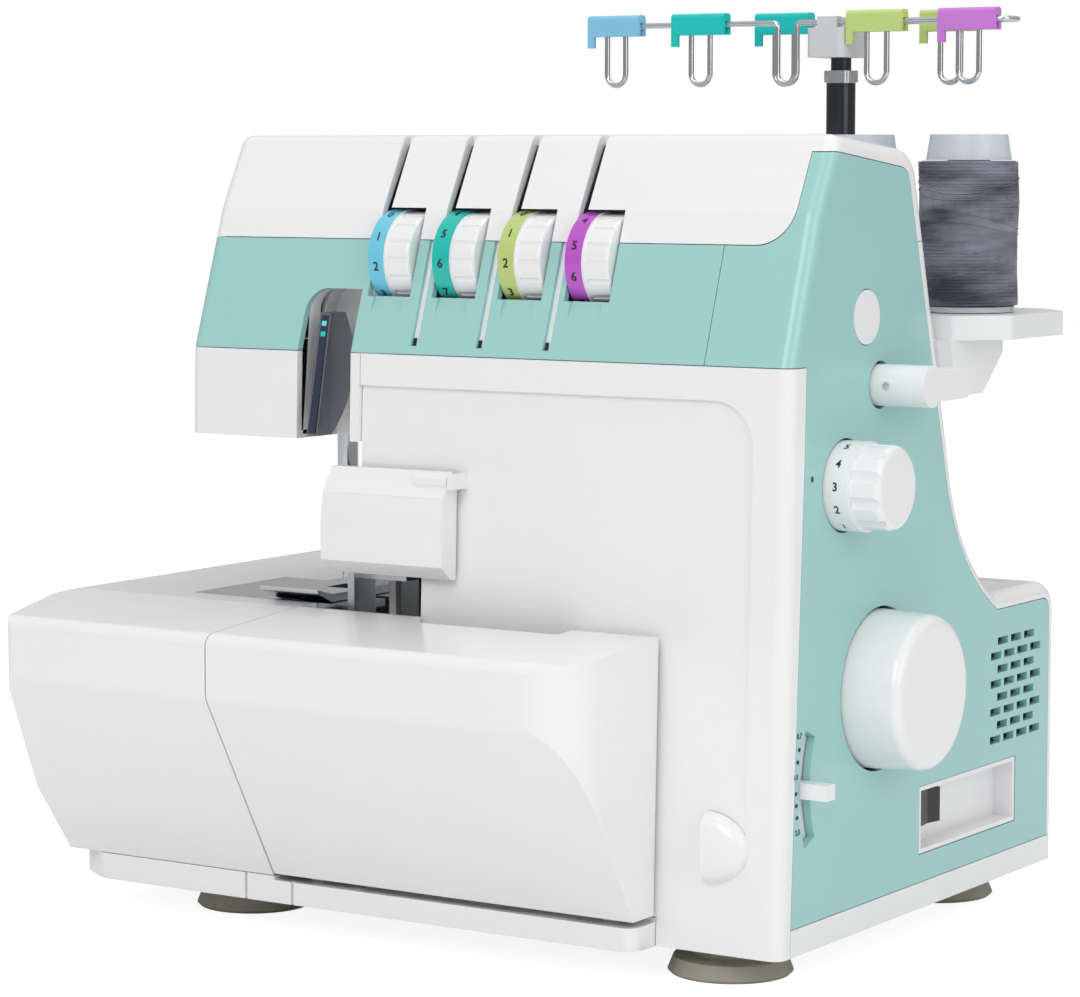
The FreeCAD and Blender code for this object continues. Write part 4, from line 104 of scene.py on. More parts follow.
# Strands laid across the turns: starts and sweep as shares of a round, heights as shares of the
# spool's height, the swing in metres and the lift in strand radii
LOOSE_STRANDS = 7
LOOSE_POINTS = 120
LOOSE_START = 0.37
LOOSE_SEED = 0.11
LOOSE_SWEEP = 0.9
LOOSE_FIRST = 0.12
LOOSE_STEP = 0.125
LOOSE_SWING = 0.005
LOOSE_LIFT = 0.7

# Stage: lamps have a name, a place, a size and watts
WHITE = (1.0, 1.0, 1.0, 1.0)
FLOOR_REACH = 4.0
FLOOR_GLOW = 1.45
FLOOR_GLOW_SHARE = 0.6
SKY_HEIGHTS = (-0.3, 0.6)
SKY_LEVELS = (0.22, 0.62)
LAMPS = (("key", (0.35, -1.9, 1.5), 1.2, 13.5), ("side", (1.9, -0.6, 0.9), 1.2, 7.0),
         ("top", (0.1, 0.2, 2.0), 1.4, 9.0))
LAMP_AIM = (0.0, 0.0, 0.15)
CAMERA_PLACE = (0.7353, -1.1401, 0.2914)
CAMERA_TILT = 84.4
CAMERA_TURN = 33.0
CAMERA_LENS_MM = 118.67
CAMERA_SENSOR_MM = 36.0


def linear(text):
    """Linear colour of a six-digit sRGB hex text."""
    full = 255
    return tuple(Color([byte / full for byte in bytes.fromhex(text)]).from_srgb_to_scene_linear())


def length(label, value, text):
    """Length property in metres."""
    return bpy.props.FloatProperty(name=label, description=text, default=value, unit="LENGTH",
                                   precision=5)


def colour(label, text, about):
    """Colour property from an sRGB hex text."""
    return bpy.props.FloatVectorProperty(name=label, description=about, default=linear(text),
                                         subtype="COLOR", size=3, min=0, max=1)


class OverlockSizes(bpy.types.PropertyGroup):
    """Places and sizes of the pieces that are added to the CAD frame."""
    dial_first: length("First dial", -0.0345, "X of the first tension dial's left end")
    dial_pitch: length("Dial pitch", 0.0287, "Step from one tension dial to the next")
    dial_band: length("Band width", 0.007, "Width of a tension dial's number band")
    dial_radius: length("Dial radius", 0.018, "Radius of the number band")
    dial_y: length("Dial Y", -0.0533, "Y of the tension dials' axis")
    dial_z: length("Dial Z", 0.2512, "Z of the tension dials' axis")
    figure_high: length("Figure height", 0.0046, "Text size of the tension dials' figures")
    stitch_x: length("Stitch figures X", 0.1521, "Middle of the stitch length figures along X")
    stitch_radius: length("Stitch radius", 0.016, "Radius of the stitch length dial")
    stitch_y: length("Stitch Y", -0.0385, "Y of the stitch length dial's axis")
    stitch_z: length("Stitch Z", 0.174, "Z of the stitch length dial's axis")
    stitch_high: length("Stitch figures", 0.0042, "Text size of the stitch length figures")
    side_face: length("Side face", 0.1475, "X of the side panel's face")
    pointer_y: length("Pointer Y", -0.0625, "Y of the stitch length dial's pointer dot")
    pointer_z: length("Pointer Z", 0.178, "Z of the stitch length dial's pointer dot")
    pointer_across: length("Pointer width", 0.0016, "Width of the pointer dot")
    pointer_tall: length("Pointer height", 0.0022, "Height of the pointer dot")
    feed_y: length("Feed lever Y", -0.019, "Y of the differential lever's axis")
    feed_z: length("Feed lever Z", 0.070, "Z of the differential lever's axis")
    feed_radius: length("Feed scale radius", 0.0534, "Radius of the feed scale's row of dots")
    feed_across: length("Feed dot width", 0.0019, "Width of the feed scale's dots")
    feed_tall: length("Feed dot height", 0.0015, "Height of the feed scale's dots")
    print_lift: length("Print lift", 0.00012, "How far printed marks stand off their surface")
    ring_low: length("Ring foot", 0.3172, "Z where the bright ring of the outer tube starts")
    spool_x: length("First spool", 0.1404, "X of the right-hand spool")
    spool_pitch: length("Spool pitch", 0.0477, "Step from one spool to the next, leftwards")
    spool_y: length("Spool Y", 0.071, "Y of the spools")
    wound_low: length("Winding foot", 0.2332, "Z where the windings start")
    wound_high: length("Winding top", 0.2872, "Z where the windings end")
    wound_core: length("Winding core", 0.0083, "Inner radius of the windings")
    wound_radius: length("Winding radius", 0.0184, "Radius of the packed turns")
    strand: length("Strand", 0.0003, "Radius of one strand of thread")
    groove_from: length("Groove left", 0.0226, "Groove's left side, from its dial's left end")
    groove_to: length("Groove right", 0.0256, "Groove's right side, from its dial's left end")
    groove_low: length("Groove foot", 0.220, "Z where the thread grooves end")
    groove_high: length("Groove top", 0.2585, "Z where the thread grooves start")
    groove_deep: length("Groove depth", 0.0017, "How far the groove's lining lies behind the band")
    tick_high: length("Tick height", 0.0028, "Height of the dark tick at a groove's foot")
    band_foot_y: length("Band foot Y", -0.0775, "Y of the coloured band at its foot")
    band_foot_z: length("Band foot Z", 0.217, "Z of the coloured band's foot")
    band_top_y: length("Band top Y", -0.0635, "Y of the coloured band at its top")
    band_top_z: length("Band top Z", 0.2585, "Z of the coloured band's top")
    bump_x: length("Bump left", 0.118, "X of the thumb bump's flat side")
    bump_y: length("Bump wall", -0.0821, "Y of the front wall at the thumb bump")
    bump_z: length("Bump height", 0.0495, "Z of the thumb bump's middle")
    bump_reach: length("Bump reach", 0.0165, "How far the thumb bump reaches to the right")
    bump_rise: length("Bump rise", 0.0127, "Half the height of the thumb bump")
    bump_stand: length("Bump stand", 0.0058, "How far the thumb bump stands off the wall")
    recess_left: length("Recess left", -0.0625, "X of the take-up recess's left side")
    recess_right: length("Recess right", -0.0385, "X of the take-up recess's right side")
    recess_low: length("Recess foot", 0.1855, "Z of the take-up recess's open foot")
    recess_high: length("Recess top", 0.240, "Z of the take-up recess's top")
    recess_round: length("Recess corner", 0.009, "Radius of the take-up recess's upper left corner")
    recess_rear: length("Recess rear", -0.0628, "Y where the recess's front lining ends")
    shell_wall: length("Shell wall", 0.003, "Thickness of the housing's walls")
    guard_left: length("Guard left", -0.0435, "X of the knife guard's left end")
    guard_right: length("Guard right", 0.0105, "X of the knife guard's right end")
    guard_rear: length("Guard rear", -0.0791, "Y of the knife guard's upper rear edge")
    guard_top: length("Guard top", 0.175, "Z of the knife guard's top")
    guard_bulge: length("Guard bulge", 0.009, "Depth and height of the guard's sloping top")
    guard_edge: length("Guard edge", 0.003, "Depth of the guard's flat upper edge")
    strip_left: length("Strip left", -0.0556, "X of the take-up strip's left side")
    strip_right: length("Strip right", -0.0524, "X of the take-up strip's right side")
    strip_foot_y: length("Strip foot Y", -0.0805, "Y of the take-up lever's face at the strip's foot")
    strip_foot_z: length("Strip foot Z", 0.1865, "Z of the take-up strip's foot")
    strip_top_y: length("Strip top Y", -0.0713, "Y of the take-up lever's face at the strip's top")
    strip_top_z: length("Strip top Z", 0.230, "Z of the take-up strip's top")
    dot_inset: length("Dot inset", 0.0005, "From the take-up strip's sides to its dots")
    dot_deep: length("Dot depth", 0.0002, "Half the depth that a threading dot spans")
    dot_high: length("Dot height", 0.0009, "Half the height of a threading dot")


class OverlockColours(bpy.types.PropertyGroup):
    """Colours of the machine and its stage."""
    mint: colour("Mint", "9ED0CC", "Band and side panel")
    white: colour("White", "F1F1F2", "Housing")
    blue: colour("Light blue", "6CC9E4", "First dial's band")
    teal: colour("Teal", "00BDB0", "Second dial's band")
    lime: colour("Lime", "BCCF7C", "Third dial's band")
    violet: colour("Violet", "BE52C8", "Fourth dial's band")
    blue_clip: colour("Light blue clip", "85CDEB", "Clip of the first thread")
    teal_clip: colour("Teal clip", "00CBC4", "Clips of the second thread")
    lime_clip: colour("Lime clip", "C5DD86", "Clips of the third thread")
    violet_clip: colour("Violet clip", "CF7FDA", "Clip of the fourth thread")
    grey_thread: colour("Grey thread", "6E707C", "Thread on the right-hand spool")
    white_thread: colour("White thread", "ECEAE4", "Thread on the other spools")
    rubber: colour("Rubber", "A39F90", "Feet")
    belt: colour("Belt", "222222", "Drive belt")
    chrome: colour("Chrome", "D3D7DB", "Bars, needle plate, foot and guide wire")
    steel: colour("Steel", "C6C9CC", "Shafts, loopers, knife and feed dog")
    lever: colour("Polished lever", "8E9298", "Take-up lever")
    casting: colour("Casting", "9A9C9E", "Inner frame")
    bronze: colour("Bronze", "B58A55", "Shaft bearings")
    motor: colour("Motor", "8C8F94", "Motor's can")
    tube: colour("Dark tube", "4E5056", "Outer tube of the thread stand")
    inner_tube: colour("Inner tube", "4A4C52", "Inner tube of the thread stand")
    guide: colour("Guide plastic", "D5D6D8", "Head of the thread guide")
    dark: colour("Dark plastic", "1E1F21", "Switch, inlet and pulleys")
    lens: colour("Lens", "F2F5F5", "Lamp's lens")
    spool: colour("Spool plastic", "DCE5EA", "Spool cores")
    tray: colour("Tray plastic", "F1F3F3", "Spool tray")
    print_black: colour("Print", "17191D", "Printed figures and marks")
    navy: colour("Navy", "232A45", "Strip on the take-up lever")
    floor_low: colour("Floor, darker", "F4F4F4", "Darker tone of the floor")
    floor_high: colour("Floor, lighter", "FAFAFA", "Lighter tone of the floor")


class Shade:
    """Output of a shader node that takes Python arithmetic, each sign adding one Math node."""

    def __init__(self, nodes, socket):
        self.nodes = nodes
        self.socket = socket

    def math(self, operation, *values):
        """One Math node over plain numbers and other shades."""
        return self.nodes.add("ShaderNodeMath", {"operation": operation}, dict(enumerate(values)))

    def __add__(self, other):
        return self.math("ADD", self, other)

    def __radd__(self, other):
        return self.math("ADD", other, self)

    def __sub__(self, other):
        return self.math("SUBTRACT", self, other)

    def __rsub__(self, other):
        return self.math("SUBTRACT", other, self)

    def __mul__(self, other):
        return self.math("MULTIPLY", self, other)

    def __rmul__(self, other):
        return self.math("MULTIPLY", other, self)

    def __lt__(self, other):
        return self.math("LESS_THAN", self, other)

    def __gt__(self, other):
        return self.math("GREATER_THAN", self, other)

    def span(self, low, high):
        """This value, from 0 to 1, carried to a range."""
        return self * (high - low) + low


class Nodes:
    """A node tree in the making."""

    def __init__(self, tree):
        self.tree = tree

    def find(self, sockets, key):
        """Open socket with a place in the row or with a name in any case."""
        shown = [s for s in sockets if s.enabled]
        if isinstance(key, int):
            return shown[key]
        return next(s for s in shown if s.name.lower() == key.lower())

    def add(self, kind, settings=None, inputs=None, output=0):
        """New node of a kind with its settings first and then its socket values or links."""
        node = self.tree.nodes.new(kind)
        for name, value in (settings or {}).items():
            setattr(node, name, value)
        for key, value in (inputs or {}).items():
            self.feed(node, key, value)
        return Shade(self, self.find(node.outputs, output))

    def feed(self, node, key, value):
        """Links a shade into one of a node's open sockets, or sets a plain value there."""
        socket = self.find(node.inputs, key)
        if isinstance(value, Shade):
            self.tree.links.new(value.socket, socket)
        else:
            socket.default_value = value


class Finish(Nodes):
    """One material in the making: its node tree and its Principled shader."""

    def __init__(self, name):
        self.material = bpy.data.materials.new(name)
        self.material.use_nodes = True
        super().__init__(self.material.node_tree)
        self.shader = self.tree.nodes["Principled BSDF"]

    def set(self, **sockets):
        """Values or links of the Principled shader, with underscores for the blanks."""
        for name, value in sockets.items():
            self.feed(self.shader, name.replace("_", " "), value)

    def place(self, stretch=EVEN):
        """Object coordinates, scaled along the axes."""
        spot = self.add("ShaderNodeTexCoord", output="Object")
        return self.add("ShaderNodeMapping", inputs={"Vector": spot, "Scale": stretch})

    def axis(self, name):
        """One object coordinate in metres."""
        return self.add("ShaderNodeSeparateXYZ", inputs={0: self.place()}, output=name)

    def noise(self, scale, detail=2.0, stretch=EVEN):
        """Cloudy value from 0 to 1."""
        return self.add("ShaderNodeTexNoise",
                        inputs={"Vector": self.place(stretch), "Scale": scale, "Detail": detail})

    def mix(self, share, first, second):
        """Colour between two others."""
        opaque = [c if isinstance(c, Shade) else (*c, 1.0) for c in (first, second)]
        return self.add("ShaderNodeMix", {"data_type": "RGBA"},
                        {"Factor": share, "A": opaque[0], "B": opaque[1]})

    def tones(self, share, rgb, dark, light):
        """Colour between a darker and a lighter tone of one colour."""
        first, second = (tuple(min(1.0, c * factor) for c in rgb) for factor in (dark, light))
        return self.mix(share, first, second)

    def bump(self, height, strength, distance=0.0002):
        """Normal raised by a height."""
        return self.add("ShaderNodeBump", inputs={
            "Strength": strength, "Distance": distance, "Height": height})


def moulded(name, rgb, rough=0.24, coat=0.3, grain=0.05, uneven=0.02):
    """Glossy moulded plastic: faint cloudiness, uneven gloss and a fine orange-peel skin."""
    finish = Finish(name)
    cloud = finish.noise(scale=28.0)
    peel = finish.noise(scale=1500.0, detail=1.0)
    finish.set(base_color=finish.tones(cloud, rgb, dark=0.985, light=1.015),
               roughness=cloud.span(rough - uneven, rough + uneven),
               coat_weight=coat, coat_roughness=0.08, normal=finish.bump(peel, grain))
    return finish.material


def banded(name, rgb, white, band_end):
    """White dial plastic with a coloured number band up to an X."""
    finish = Finish(name)
    inside = finish.axis("X") < band_end
    cloud = finish.noise(scale=60.0)
    peel = finish.noise(scale=1700.0, detail=1.0)
    plain = finish.tones(cloud, white, dark=0.96, light=1.02)
    tint = finish.tones(cloud, rgb, dark=0.95, light=1.05)
    finish.set(base_color=finish.mix(inside, plain, tint), roughness=cloud.span(low=0.2, high=0.3),
               coat_weight=0.35, normal=finish.bump(peel, strength=0.04))
    return finish.material


def metal(name, rgb, rough, stretch=EVEN, scratch=0.04, smoother=0.05, rougher=0.07):
    """Bright metal with fine marks drawn out along one axis."""
    finish = Finish(name)
    streak = finish.noise(scale=900.0, detail=3.0, stretch=stretch)
    finish.set(base_color=finish.tones(streak, rgb, dark=0.9, light=1.06), metallic=1.0,
               roughness=streak.span(rough - smoother, rough + rougher),
               normal=finish.bump(streak, scratch, distance=0.0001))
    return finish.material


def cast(name, rgb, rough, grain, metallic=0.0, uneven=0.1, fine_share=0.5):
    """Rough cast or rubbery surface with a coarse and a fine grain."""
    finish = Finish(name)
    coarse = finish.noise(scale=180.0, detail=4.0)
    fine = finish.noise(scale=1300.0)
    finish.set(base_color=finish.tones(coarse, rgb, dark=0.86, light=1.1), metallic=metallic,
               roughness=fine.span(rough - uneven, rough + uneven),
               normal=finish.bump(coarse + fine * fine_share, grain, distance=0.0004))
    return finish.material


def milky(name, rgb, through):
    """Cloudy plastic that lets some light through."""
    finish = Finish(name)
    cloud = finish.noise(scale=45.0)
    peel = finish.noise(scale=1200.0, detail=1.0)
    finish.set(base_color=finish.tones(cloud, rgb, dark=0.985, light=1.01),
               roughness=cloud.span(low=0.25, high=0.28), transmission_weight=through, ior=1.46,
               normal=finish.bump(peel, strength=0.04))
    return finish.material


def tube_metal(name, rgb, bright, ring_low):
    """Dark polished tube with a bright ring at its top."""
    finish = Finish(name)
    ring = finish.axis("Z") > ring_low
    streak = finish.noise(scale=800.0, detail=3.0, stretch=ALONG_TUBE)
    finish.set(base_color=finish.mix(ring, rgb, bright), metallic=1.0,
               roughness=streak.span(low=0.1, high=0.22))
    return finish.material


def yarn(name, rgb, dark, light, sheen_low=0.35, sheen_gain=3.3):
    """Spun thread: patches of painted sheen between a dark and a light tone, and a fibre bump along
    the turns.
    """
    finish = Finish(name)
    # Painted sheen: broad noise patches, drawn out round the spool, lighten and darken the thread's
    # own colour in place of the sheen of its turns.
    sheen_patch = finish.noise(scale=30.0, detail=5.0, stretch=ROUND_SPOOL)
    fibre = finish.noise(scale=2600.0, stretch=ALONG_FIBRE)
    # This streak is the painted sheen, spread between the dark and the light tone.
    streak = (sheen_patch - sheen_low) * sheen_gain
    finish.set(base_color=finish.tones(streak, rgb, dark, light),
               roughness=fibre.span(low=0.4, high=0.6), specular_ior_level=0.3,
               normal=finish.bump(fibre, strength=0.35))
    return finish.material


def ink(name, rgb):
    """Printed mark with a slightly worn tone."""
    finish = Finish(name)
    wear = finish.noise(scale=700.0)
    finish.set(base_color=finish.tones(wear, rgb, dark=0.8, light=1.5),
               roughness=wear.span(low=0.35, high=0.55))
    return finish.material


def slot_finishes(tints, sizes):
    """Material of every slot in the record."""
    def dial(rgb, index):
        end = sizes.dial_first + sizes.dial_pitch * index + sizes.dial_band
        return banded, rgb, dict(white=tints.white, band_end=end)

    def clip(rgb):
        return moulded, rgb, dict(rough=0.3, coat=0.2)
    recipes = {
        "mint_plastic": (moulded, tints.mint, dict(rough=0.26)),
        "white_plastic": (moulded, tints.white, dict(coat=0.35)),
        "guide_plastic": (moulded, tints.guide, dict(rough=0.34, coat=0.15)),
        "dark_plastic": (moulded, tints.dark, dict(rough=0.4, coat=0.1, grain=0.12)),
        "light_blue_dial": dial(tints.blue, 0),
        "teal_dial": dial(tints.teal, 1),
        "lime_dial": dial(tints.lime, 2),
        "violet_dial": dial(tints.violet, 3),
        "light_blue_clip": clip(tints.blue_clip),
        "teal_clip": clip(tints.teal_clip),
        "lime_clip": clip(tints.lime_clip),
        "violet_clip": clip(tints.violet_clip),
        "chrome": (metal, tints.chrome, dict(rough=0.13, stretch=ALONG_Z, scratch=0.02)),
        "steel": (metal, tints.steel, dict(rough=0.28, stretch=ALONG_Y)),
        "bearing_bronze": (metal, tints.bronze, dict(rough=0.35, stretch=ALONG_X)),
        "motor_can": (metal, tints.motor, dict(rough=0.35, stretch=ALONG_X, scratch=0.08)),
        "dark_tube": (tube_metal, tints.tube, dict(bright=tints.chrome, ring_low=sizes.ring_low)),
        "casting": (cast, tints.casting, dict(rough=0.5, grain=0.3, metallic=0.7)),
        "belt_rubber": (cast, tints.belt, dict(rough=0.7, grain=0.25)),
        "foot_rubber": (cast, tints.rubber, dict(rough=0.7, grain=0.3)),
        "lens": (milky, tints.lens, dict(through=0.8)),
        "spool_plastic": (milky, tints.spool, dict(through=0.25)),
        # Yarn tones: how far the painted sheen darkens and lightens each thread's colour.
        "grey_yarn": (yarn, tints.grey_thread, dict(dark=0.4, light=1.65)),
        "white_yarn": (yarn, tints.white_thread, dict(dark=0.95, light=1.03)),
    }
    return {slot: make(slot, rgb, **how) for slot, (make, rgb, how) in recipes.items()}


def own_finishes(tints):
    """Material of each node that differs from the others of its slot."""
    return {
        "spool_tray": milky("tray_plastic", tints.tray, through=0.05),
        "take_up_lever": metal("polished_lever", tints.lever, rough=0.12, stretch=ALONG_Z,
                               scratch=0.02),
        "inner_rod": metal("inner_tube", tints.inner_tube, rough=0.16, stretch=ALONG_TUBE,
                           scratch=0.02),
    }


def finish_of(node):
    """Finish that a CAD node carries."""
    return frame["nodes"][node].data.materials[0]


def grid_mesh(points, wrap_columns=False):
    """Vertices and quads over a grid of points[row, column].

    Quad (i, j) joins points (i, j), (i+1, j), (i+1, j+1) and (i, j+1); wrapped columns take
    their indices modulo their number.
    """
    rows, columns = points.shape[:2]
    i = np.arange(rows - 1)[:, None]
    j = np.arange(columns if wrap_columns else columns - 1)[None, :]
    right = (j + 1) % columns
    here, below = i * columns, (i + 1) * columns
    quads = np.stack([here + j, below + j, below + right, here + right], axis=-1)
    return points.reshape(-1, 3), quads.reshape(-1, 4)


def joined(parts):
    """Several (vertices, faces) pairs as one."""
    offsets = np.cumsum([0] + [len(v) for v, f in parts[:-1]]).tolist()
    vertices = np.concatenate([v for v, f in parts])
    faces = [[start + k for k in face] for (v, f), start in zip(parts, offsets) for face in f]
    return vertices, faces


def piece(name, parts, material, body, smooth=True):
    """Object from (vertices, faces) pairs that rides on a CAD body."""
    vertices, faces = joined(parts)
    mesh = bpy.data.meshes.new(name)
    mesh.from_pydata(vertices.tolist(), [], faces)
    mesh.polygons.foreach_set("use_smooth", np.full(len(faces), smooth))
    mesh.materials.append(material)
    made = bpy.data.objects.new(name, mesh)
    bpy.context.scene.collection.objects.link(made)
    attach(made, body)
    return made


def tube(path, radius, sides):
    """Round tube along a path: path + radius (cos v side + sin v over), v once round.

    side is level and square to the path, and over is square to both.
    """
    ahead = np.gradient(path, axis=0)
    side = np.cross(ahead, (0.0, 0.0, 1.0))
    over = np.cross(side, ahead)
    side, over = (way / np.linalg.norm(way, axis=1, keepdims=True) for way in (side, over))
    turn = np.linspace(0, 2 * np.pi, sides, endpoint=False)[None, :, None]
    points = path[:, None] + radius * (np.cos(turn) * side[:, None] + np.sin(turn) * over[:, None])
    return grid_mesh(points, wrap_columns=True)


def turned(centre, profile, segments=64):
    """Surface of (radius, height) points turned about an upright axis through centre.

    The rows run backwards along a profile that climbs outside, so that the faces point outwards.
    """
    angle = np.linspace(0, 2 * np.pi, segments, endpoint=False)
    radius, height = np.array(profile)[::-1].T
    points = np.stack([centre[0] + radius[:, None] * np.cos(angle),
                       centre[1] + radius[:, None] * np.sin(angle),
                       np.broadcast_to(height[:, None], (len(height), segments))], axis=-1)
    return grid_mesh(points, wrap_columns=True)


def winding(sizes, index):
    """One spool's thread: a closed body, packed turns and a few strands laid across them.

    Packed turns: angle = 2 pi N t, height = low + (high - low) t + w sin(rate angle + seed), and
    radius = packed radius + strand sin(bulge t + angle + seed) for the soft bulges of a used spool.
    Loose strands: height = middle + swing sin(angle + k) cos(pi (s - 1/2)) for s from 0 to 1.
    """
    seed = index + 1.0
    centre = (sizes.spool_x - sizes.spool_pitch * index, sizes.spool_y)
    low, high, strand = sizes.wound_low, sizes.wound_high, sizes.strand
    core, outer, corner = sizes.wound_core, sizes.wound_radius, sizes.strand * BODY_CORNER

    def lay(t, angle, height, out):
        """Path round the spool, kept between its ends."""
        radius = outer + out + strand * np.sin(BULGE_RATE * t + angle + seed)
        return np.stack([centre[0] + radius * np.cos(angle), centre[1] + radius * np.sin(angle),
                         np.clip(height, low + strand, high - strand)], axis=-1)
    parts = [turned(centre, [(core, low), (outer - corner, low), (outer, low + corner),
                             (outer, high - corner), (outer - corner, high), (core, high),
                             (core, low)])]
    climb = high - low - 2 * strand
    turns = int(climb / (strand * TURN_PITCH))
    t = np.linspace(0, 1, turns * TURN_POINTS)
    angle = 2 * np.pi * turns * t
    wobble = strand * WOBBLE * np.sin(WOBBLE_RATE * angle + seed)
    packed = lay(t, angle, low + strand + climb * t + wobble, 0.0)
    parts.append(tube(packed, strand, STRAND_SIDES))
    share = np.linspace(0, 1, LOOSE_POINTS)
    for k in range(LOOSE_STRANDS):
        start = (k * LOOSE_START + seed * LOOSE_SEED) % 1.0
        angle = 2 * np.pi * (start + LOOSE_SWEEP * share)
        middle = low + (high - low) * (LOOSE_FIRST + LOOSE_STEP * k)
        height = middle + LOOSE_SWING * np.sin(angle + k) * np.cos(np.pi * (share - 0.5))
        loose = lay((height - low) / (high - low), angle, height, strand * LOOSE_LIFT)
        parts.append(tube(loose, strand, STRAND_SIDES))
    return parts


def lettering(word, size):
    """Flat text as points in x and y about its middle, and its faces."""
    curve = bpy.data.curves.new("lettering", "FONT")
    curve.body = word
    curve.size = size
    curve.align_x = "CENTER"
    curve.align_y = "CENTER"
    curve.resolution_u = LETTER_STEPS
    curve.offset = size * LETTER_SWELL
    holder = bpy.data.objects.new("lettering", curve)
    bpy.context.scene.collection.objects.link(holder)
    bpy.context.view_layer.update()
    mesh = bpy.data.meshes.new_from_object(holder)
    flat = np.empty(len(mesh.vertices) * 3)
    mesh.vertices.foreach_get("co", flat)
    faces = [list(p.vertices) for p in mesh.polygons]
    bpy.data.objects.remove(holder)
    bpy.data.curves.remove(curve)
    bpy.data.meshes.remove(mesh)
    return flat.reshape(-1, 3)[:, :2], faces


def drum_figures(figures, shown, step, size, x, axis, radius):
    """Figures laid round a drum along X, the shown one at its angle and the rest a step apart.

    A figure's height y becomes an angle y / radius, which is 0 at the front and grows upwards.
    """
    parts = []
    for figure in figures:
        flat, faces = lettering(str(figure), size)
        turn = math.radians(shown[1] + step * (figure - shown[0])) + flat[:, 1] / radius
        parts.append((np.stack([x + flat[:, 0], axis[0] - radius * np.cos(turn),
                                axis[1] + radius * np.sin(turn)], axis=-1), faces))
    return parts


def side_figure(word, size, x, y, z):
    """Text on a wall that faces +X, reading along +Y."""
    flat, faces = lettering(word, size)
    return np.stack([np.full(len(flat), x), y + flat[:, 0], z + flat[:, 1]], axis=-1), faces


def side_dot(x, y, z, across, tall, steps=9):
    """Oval on a wall that faces +X, a square grid of u and v pulled round.

    y = a u sqrt(1 - v^2 / 2), z = b v sqrt(1 - u^2 / 2), for u and v from -1 to 1.
    """
    u, v = np.meshgrid(np.linspace(-1, 1, steps), np.linspace(-1, 1, steps), indexing="ij")
    points = np.stack([np.full(u.shape, x), y + across / 2 * u * np.sqrt(1 - v ** 2 / 2),
                       z + tall / 2 * v * np.sqrt(1 - u ** 2 / 2)], axis=-1)
    return grid_mesh(points)


def drawn(profile, left, right):
    """Surface of a (y, z) profile drawn along X, which faces the front where the profile climbs."""
    x, row = np.meshgrid([right, left], np.arange(len(profile)))
    return grid_mesh(np.stack([x, profile[row, 0], profile[row, 1]], axis=-1))


def slanted_strip(left, right, low, high, rows=8):
    """Flat strip between two (y, z) ends and two X sides."""
    return drawn(np.linspace(low, high, rows), left, right)


def guard_cap(sizes):
    """Skin over the knife guard's sloping top and flat edge, a profile drawn along X."""
    rear, top, lift = sizes.guard_rear, sizes.guard_top, sizes.print_lift
    profile = np.array([(rear - sizes.guard_bulge - lift, top - sizes.guard_bulge),
                        (rear - sizes.guard_edge - lift, top + lift), (rear, top + lift)])
    return drawn(profile, sizes.guard_left, sizes.guard_right)


def half_dome(sizes, steps=24):
    """Half of an oval dome on the front wall, with a flat left side.

    Dome: (x, y, z) = (X + A r sin u, Y - S sin v, Z + R r cos u), r = sqrt(cos v), with u up to
    pi and v up to pi / 2. Side: y as above at x = X, z = Z + R r w for w from -1 to 1.
    """
    v = np.linspace(0, np.pi / 2, steps)[:, None]
    u = np.linspace(0, np.pi, 2 * steps)[None, :]
    across = np.linspace(-1, 1, steps)[None, :]
    y = sizes.bump_y - sizes.bump_stand * np.sin(v)
    r = np.sqrt(np.clip(np.cos(v), 0, 1))
    dome = np.stack([sizes.bump_x + sizes.bump_reach * np.sin(u) * r,
                     np.broadcast_to(y, (steps, 2 * steps)),
                     sizes.bump_z + sizes.bump_rise * np.cos(u) * r], axis=-1)
    side = np.stack([np.full((steps, steps), sizes.bump_x), np.broadcast_to(y, (steps, steps)),
                     sizes.bump_z + sizes.bump_rise * across * r], axis=-1)
    return [grid_mesh(dome), grid_mesh(side)]


def band_depth(sizes, height):
    """Y of the coloured band's outer face at a height, from its lean between foot and top."""
    lean = (sizes.band_top_y - sizes.band_foot_y) / (sizes.band_top_z - sizes.band_foot_z)
    return sizes.band_foot_y + lean * (height - sizes.band_foot_z)


def recess_lining(sizes, steps=12):
    """Lining of the take-up recess's front half: its outline up, round and across, drawn along Y.

    The corner is (x, z) = (X + r (1 - cos a), Z - r (1 - sin a)), a from 0 to pi / 2; the front
    edge follows the band's lean above its foot, one wall behind the outer face.
    """
    turn = np.linspace(0, np.pi / 2, steps)
    radius = sizes.recess_round
    x = np.concatenate([[sizes.recess_left], sizes.recess_left + radius * (1 - np.cos(turn)),
                        [sizes.recess_right]])
    z = np.concatenate([[sizes.recess_low], sizes.recess_high - radius * (1 - np.sin(turn)),
                        [sizes.recess_high]])
    front = sizes.shell_wall + band_depth(sizes, np.clip(z, sizes.band_foot_z, None))
    rear = np.full(z.shape, sizes.recess_rear)
    points = np.stack([np.stack([x, y, z], axis=-1) for y in (rear, front)], axis=1)
    return grid_mesh(points)


class OVERLOCK_OT_finishes(bpy.types.Operator):
    """Give every CAD sub-part its finish, and mix the ink for the printed marks"""
    bl_idname = "overlock.finishes"
    bl_label = "Finishes"

    def execute(self, context):
        tints = context.scene.overlock_colours
        by_slot = slot_finishes(tints, context.scene.overlock_sizes)
        by_node = own_finishes(tints)
        for part in frame["record"]["subparts"]:
            mesh = frame["nodes"][part["node"]].data
            mesh.materials.clear()
            mesh.materials.append(by_node.get(part["node"], by_slot[part["material_slot"]]))
        ink("print_black", tints.print_black)
        return {"FINISHED"}


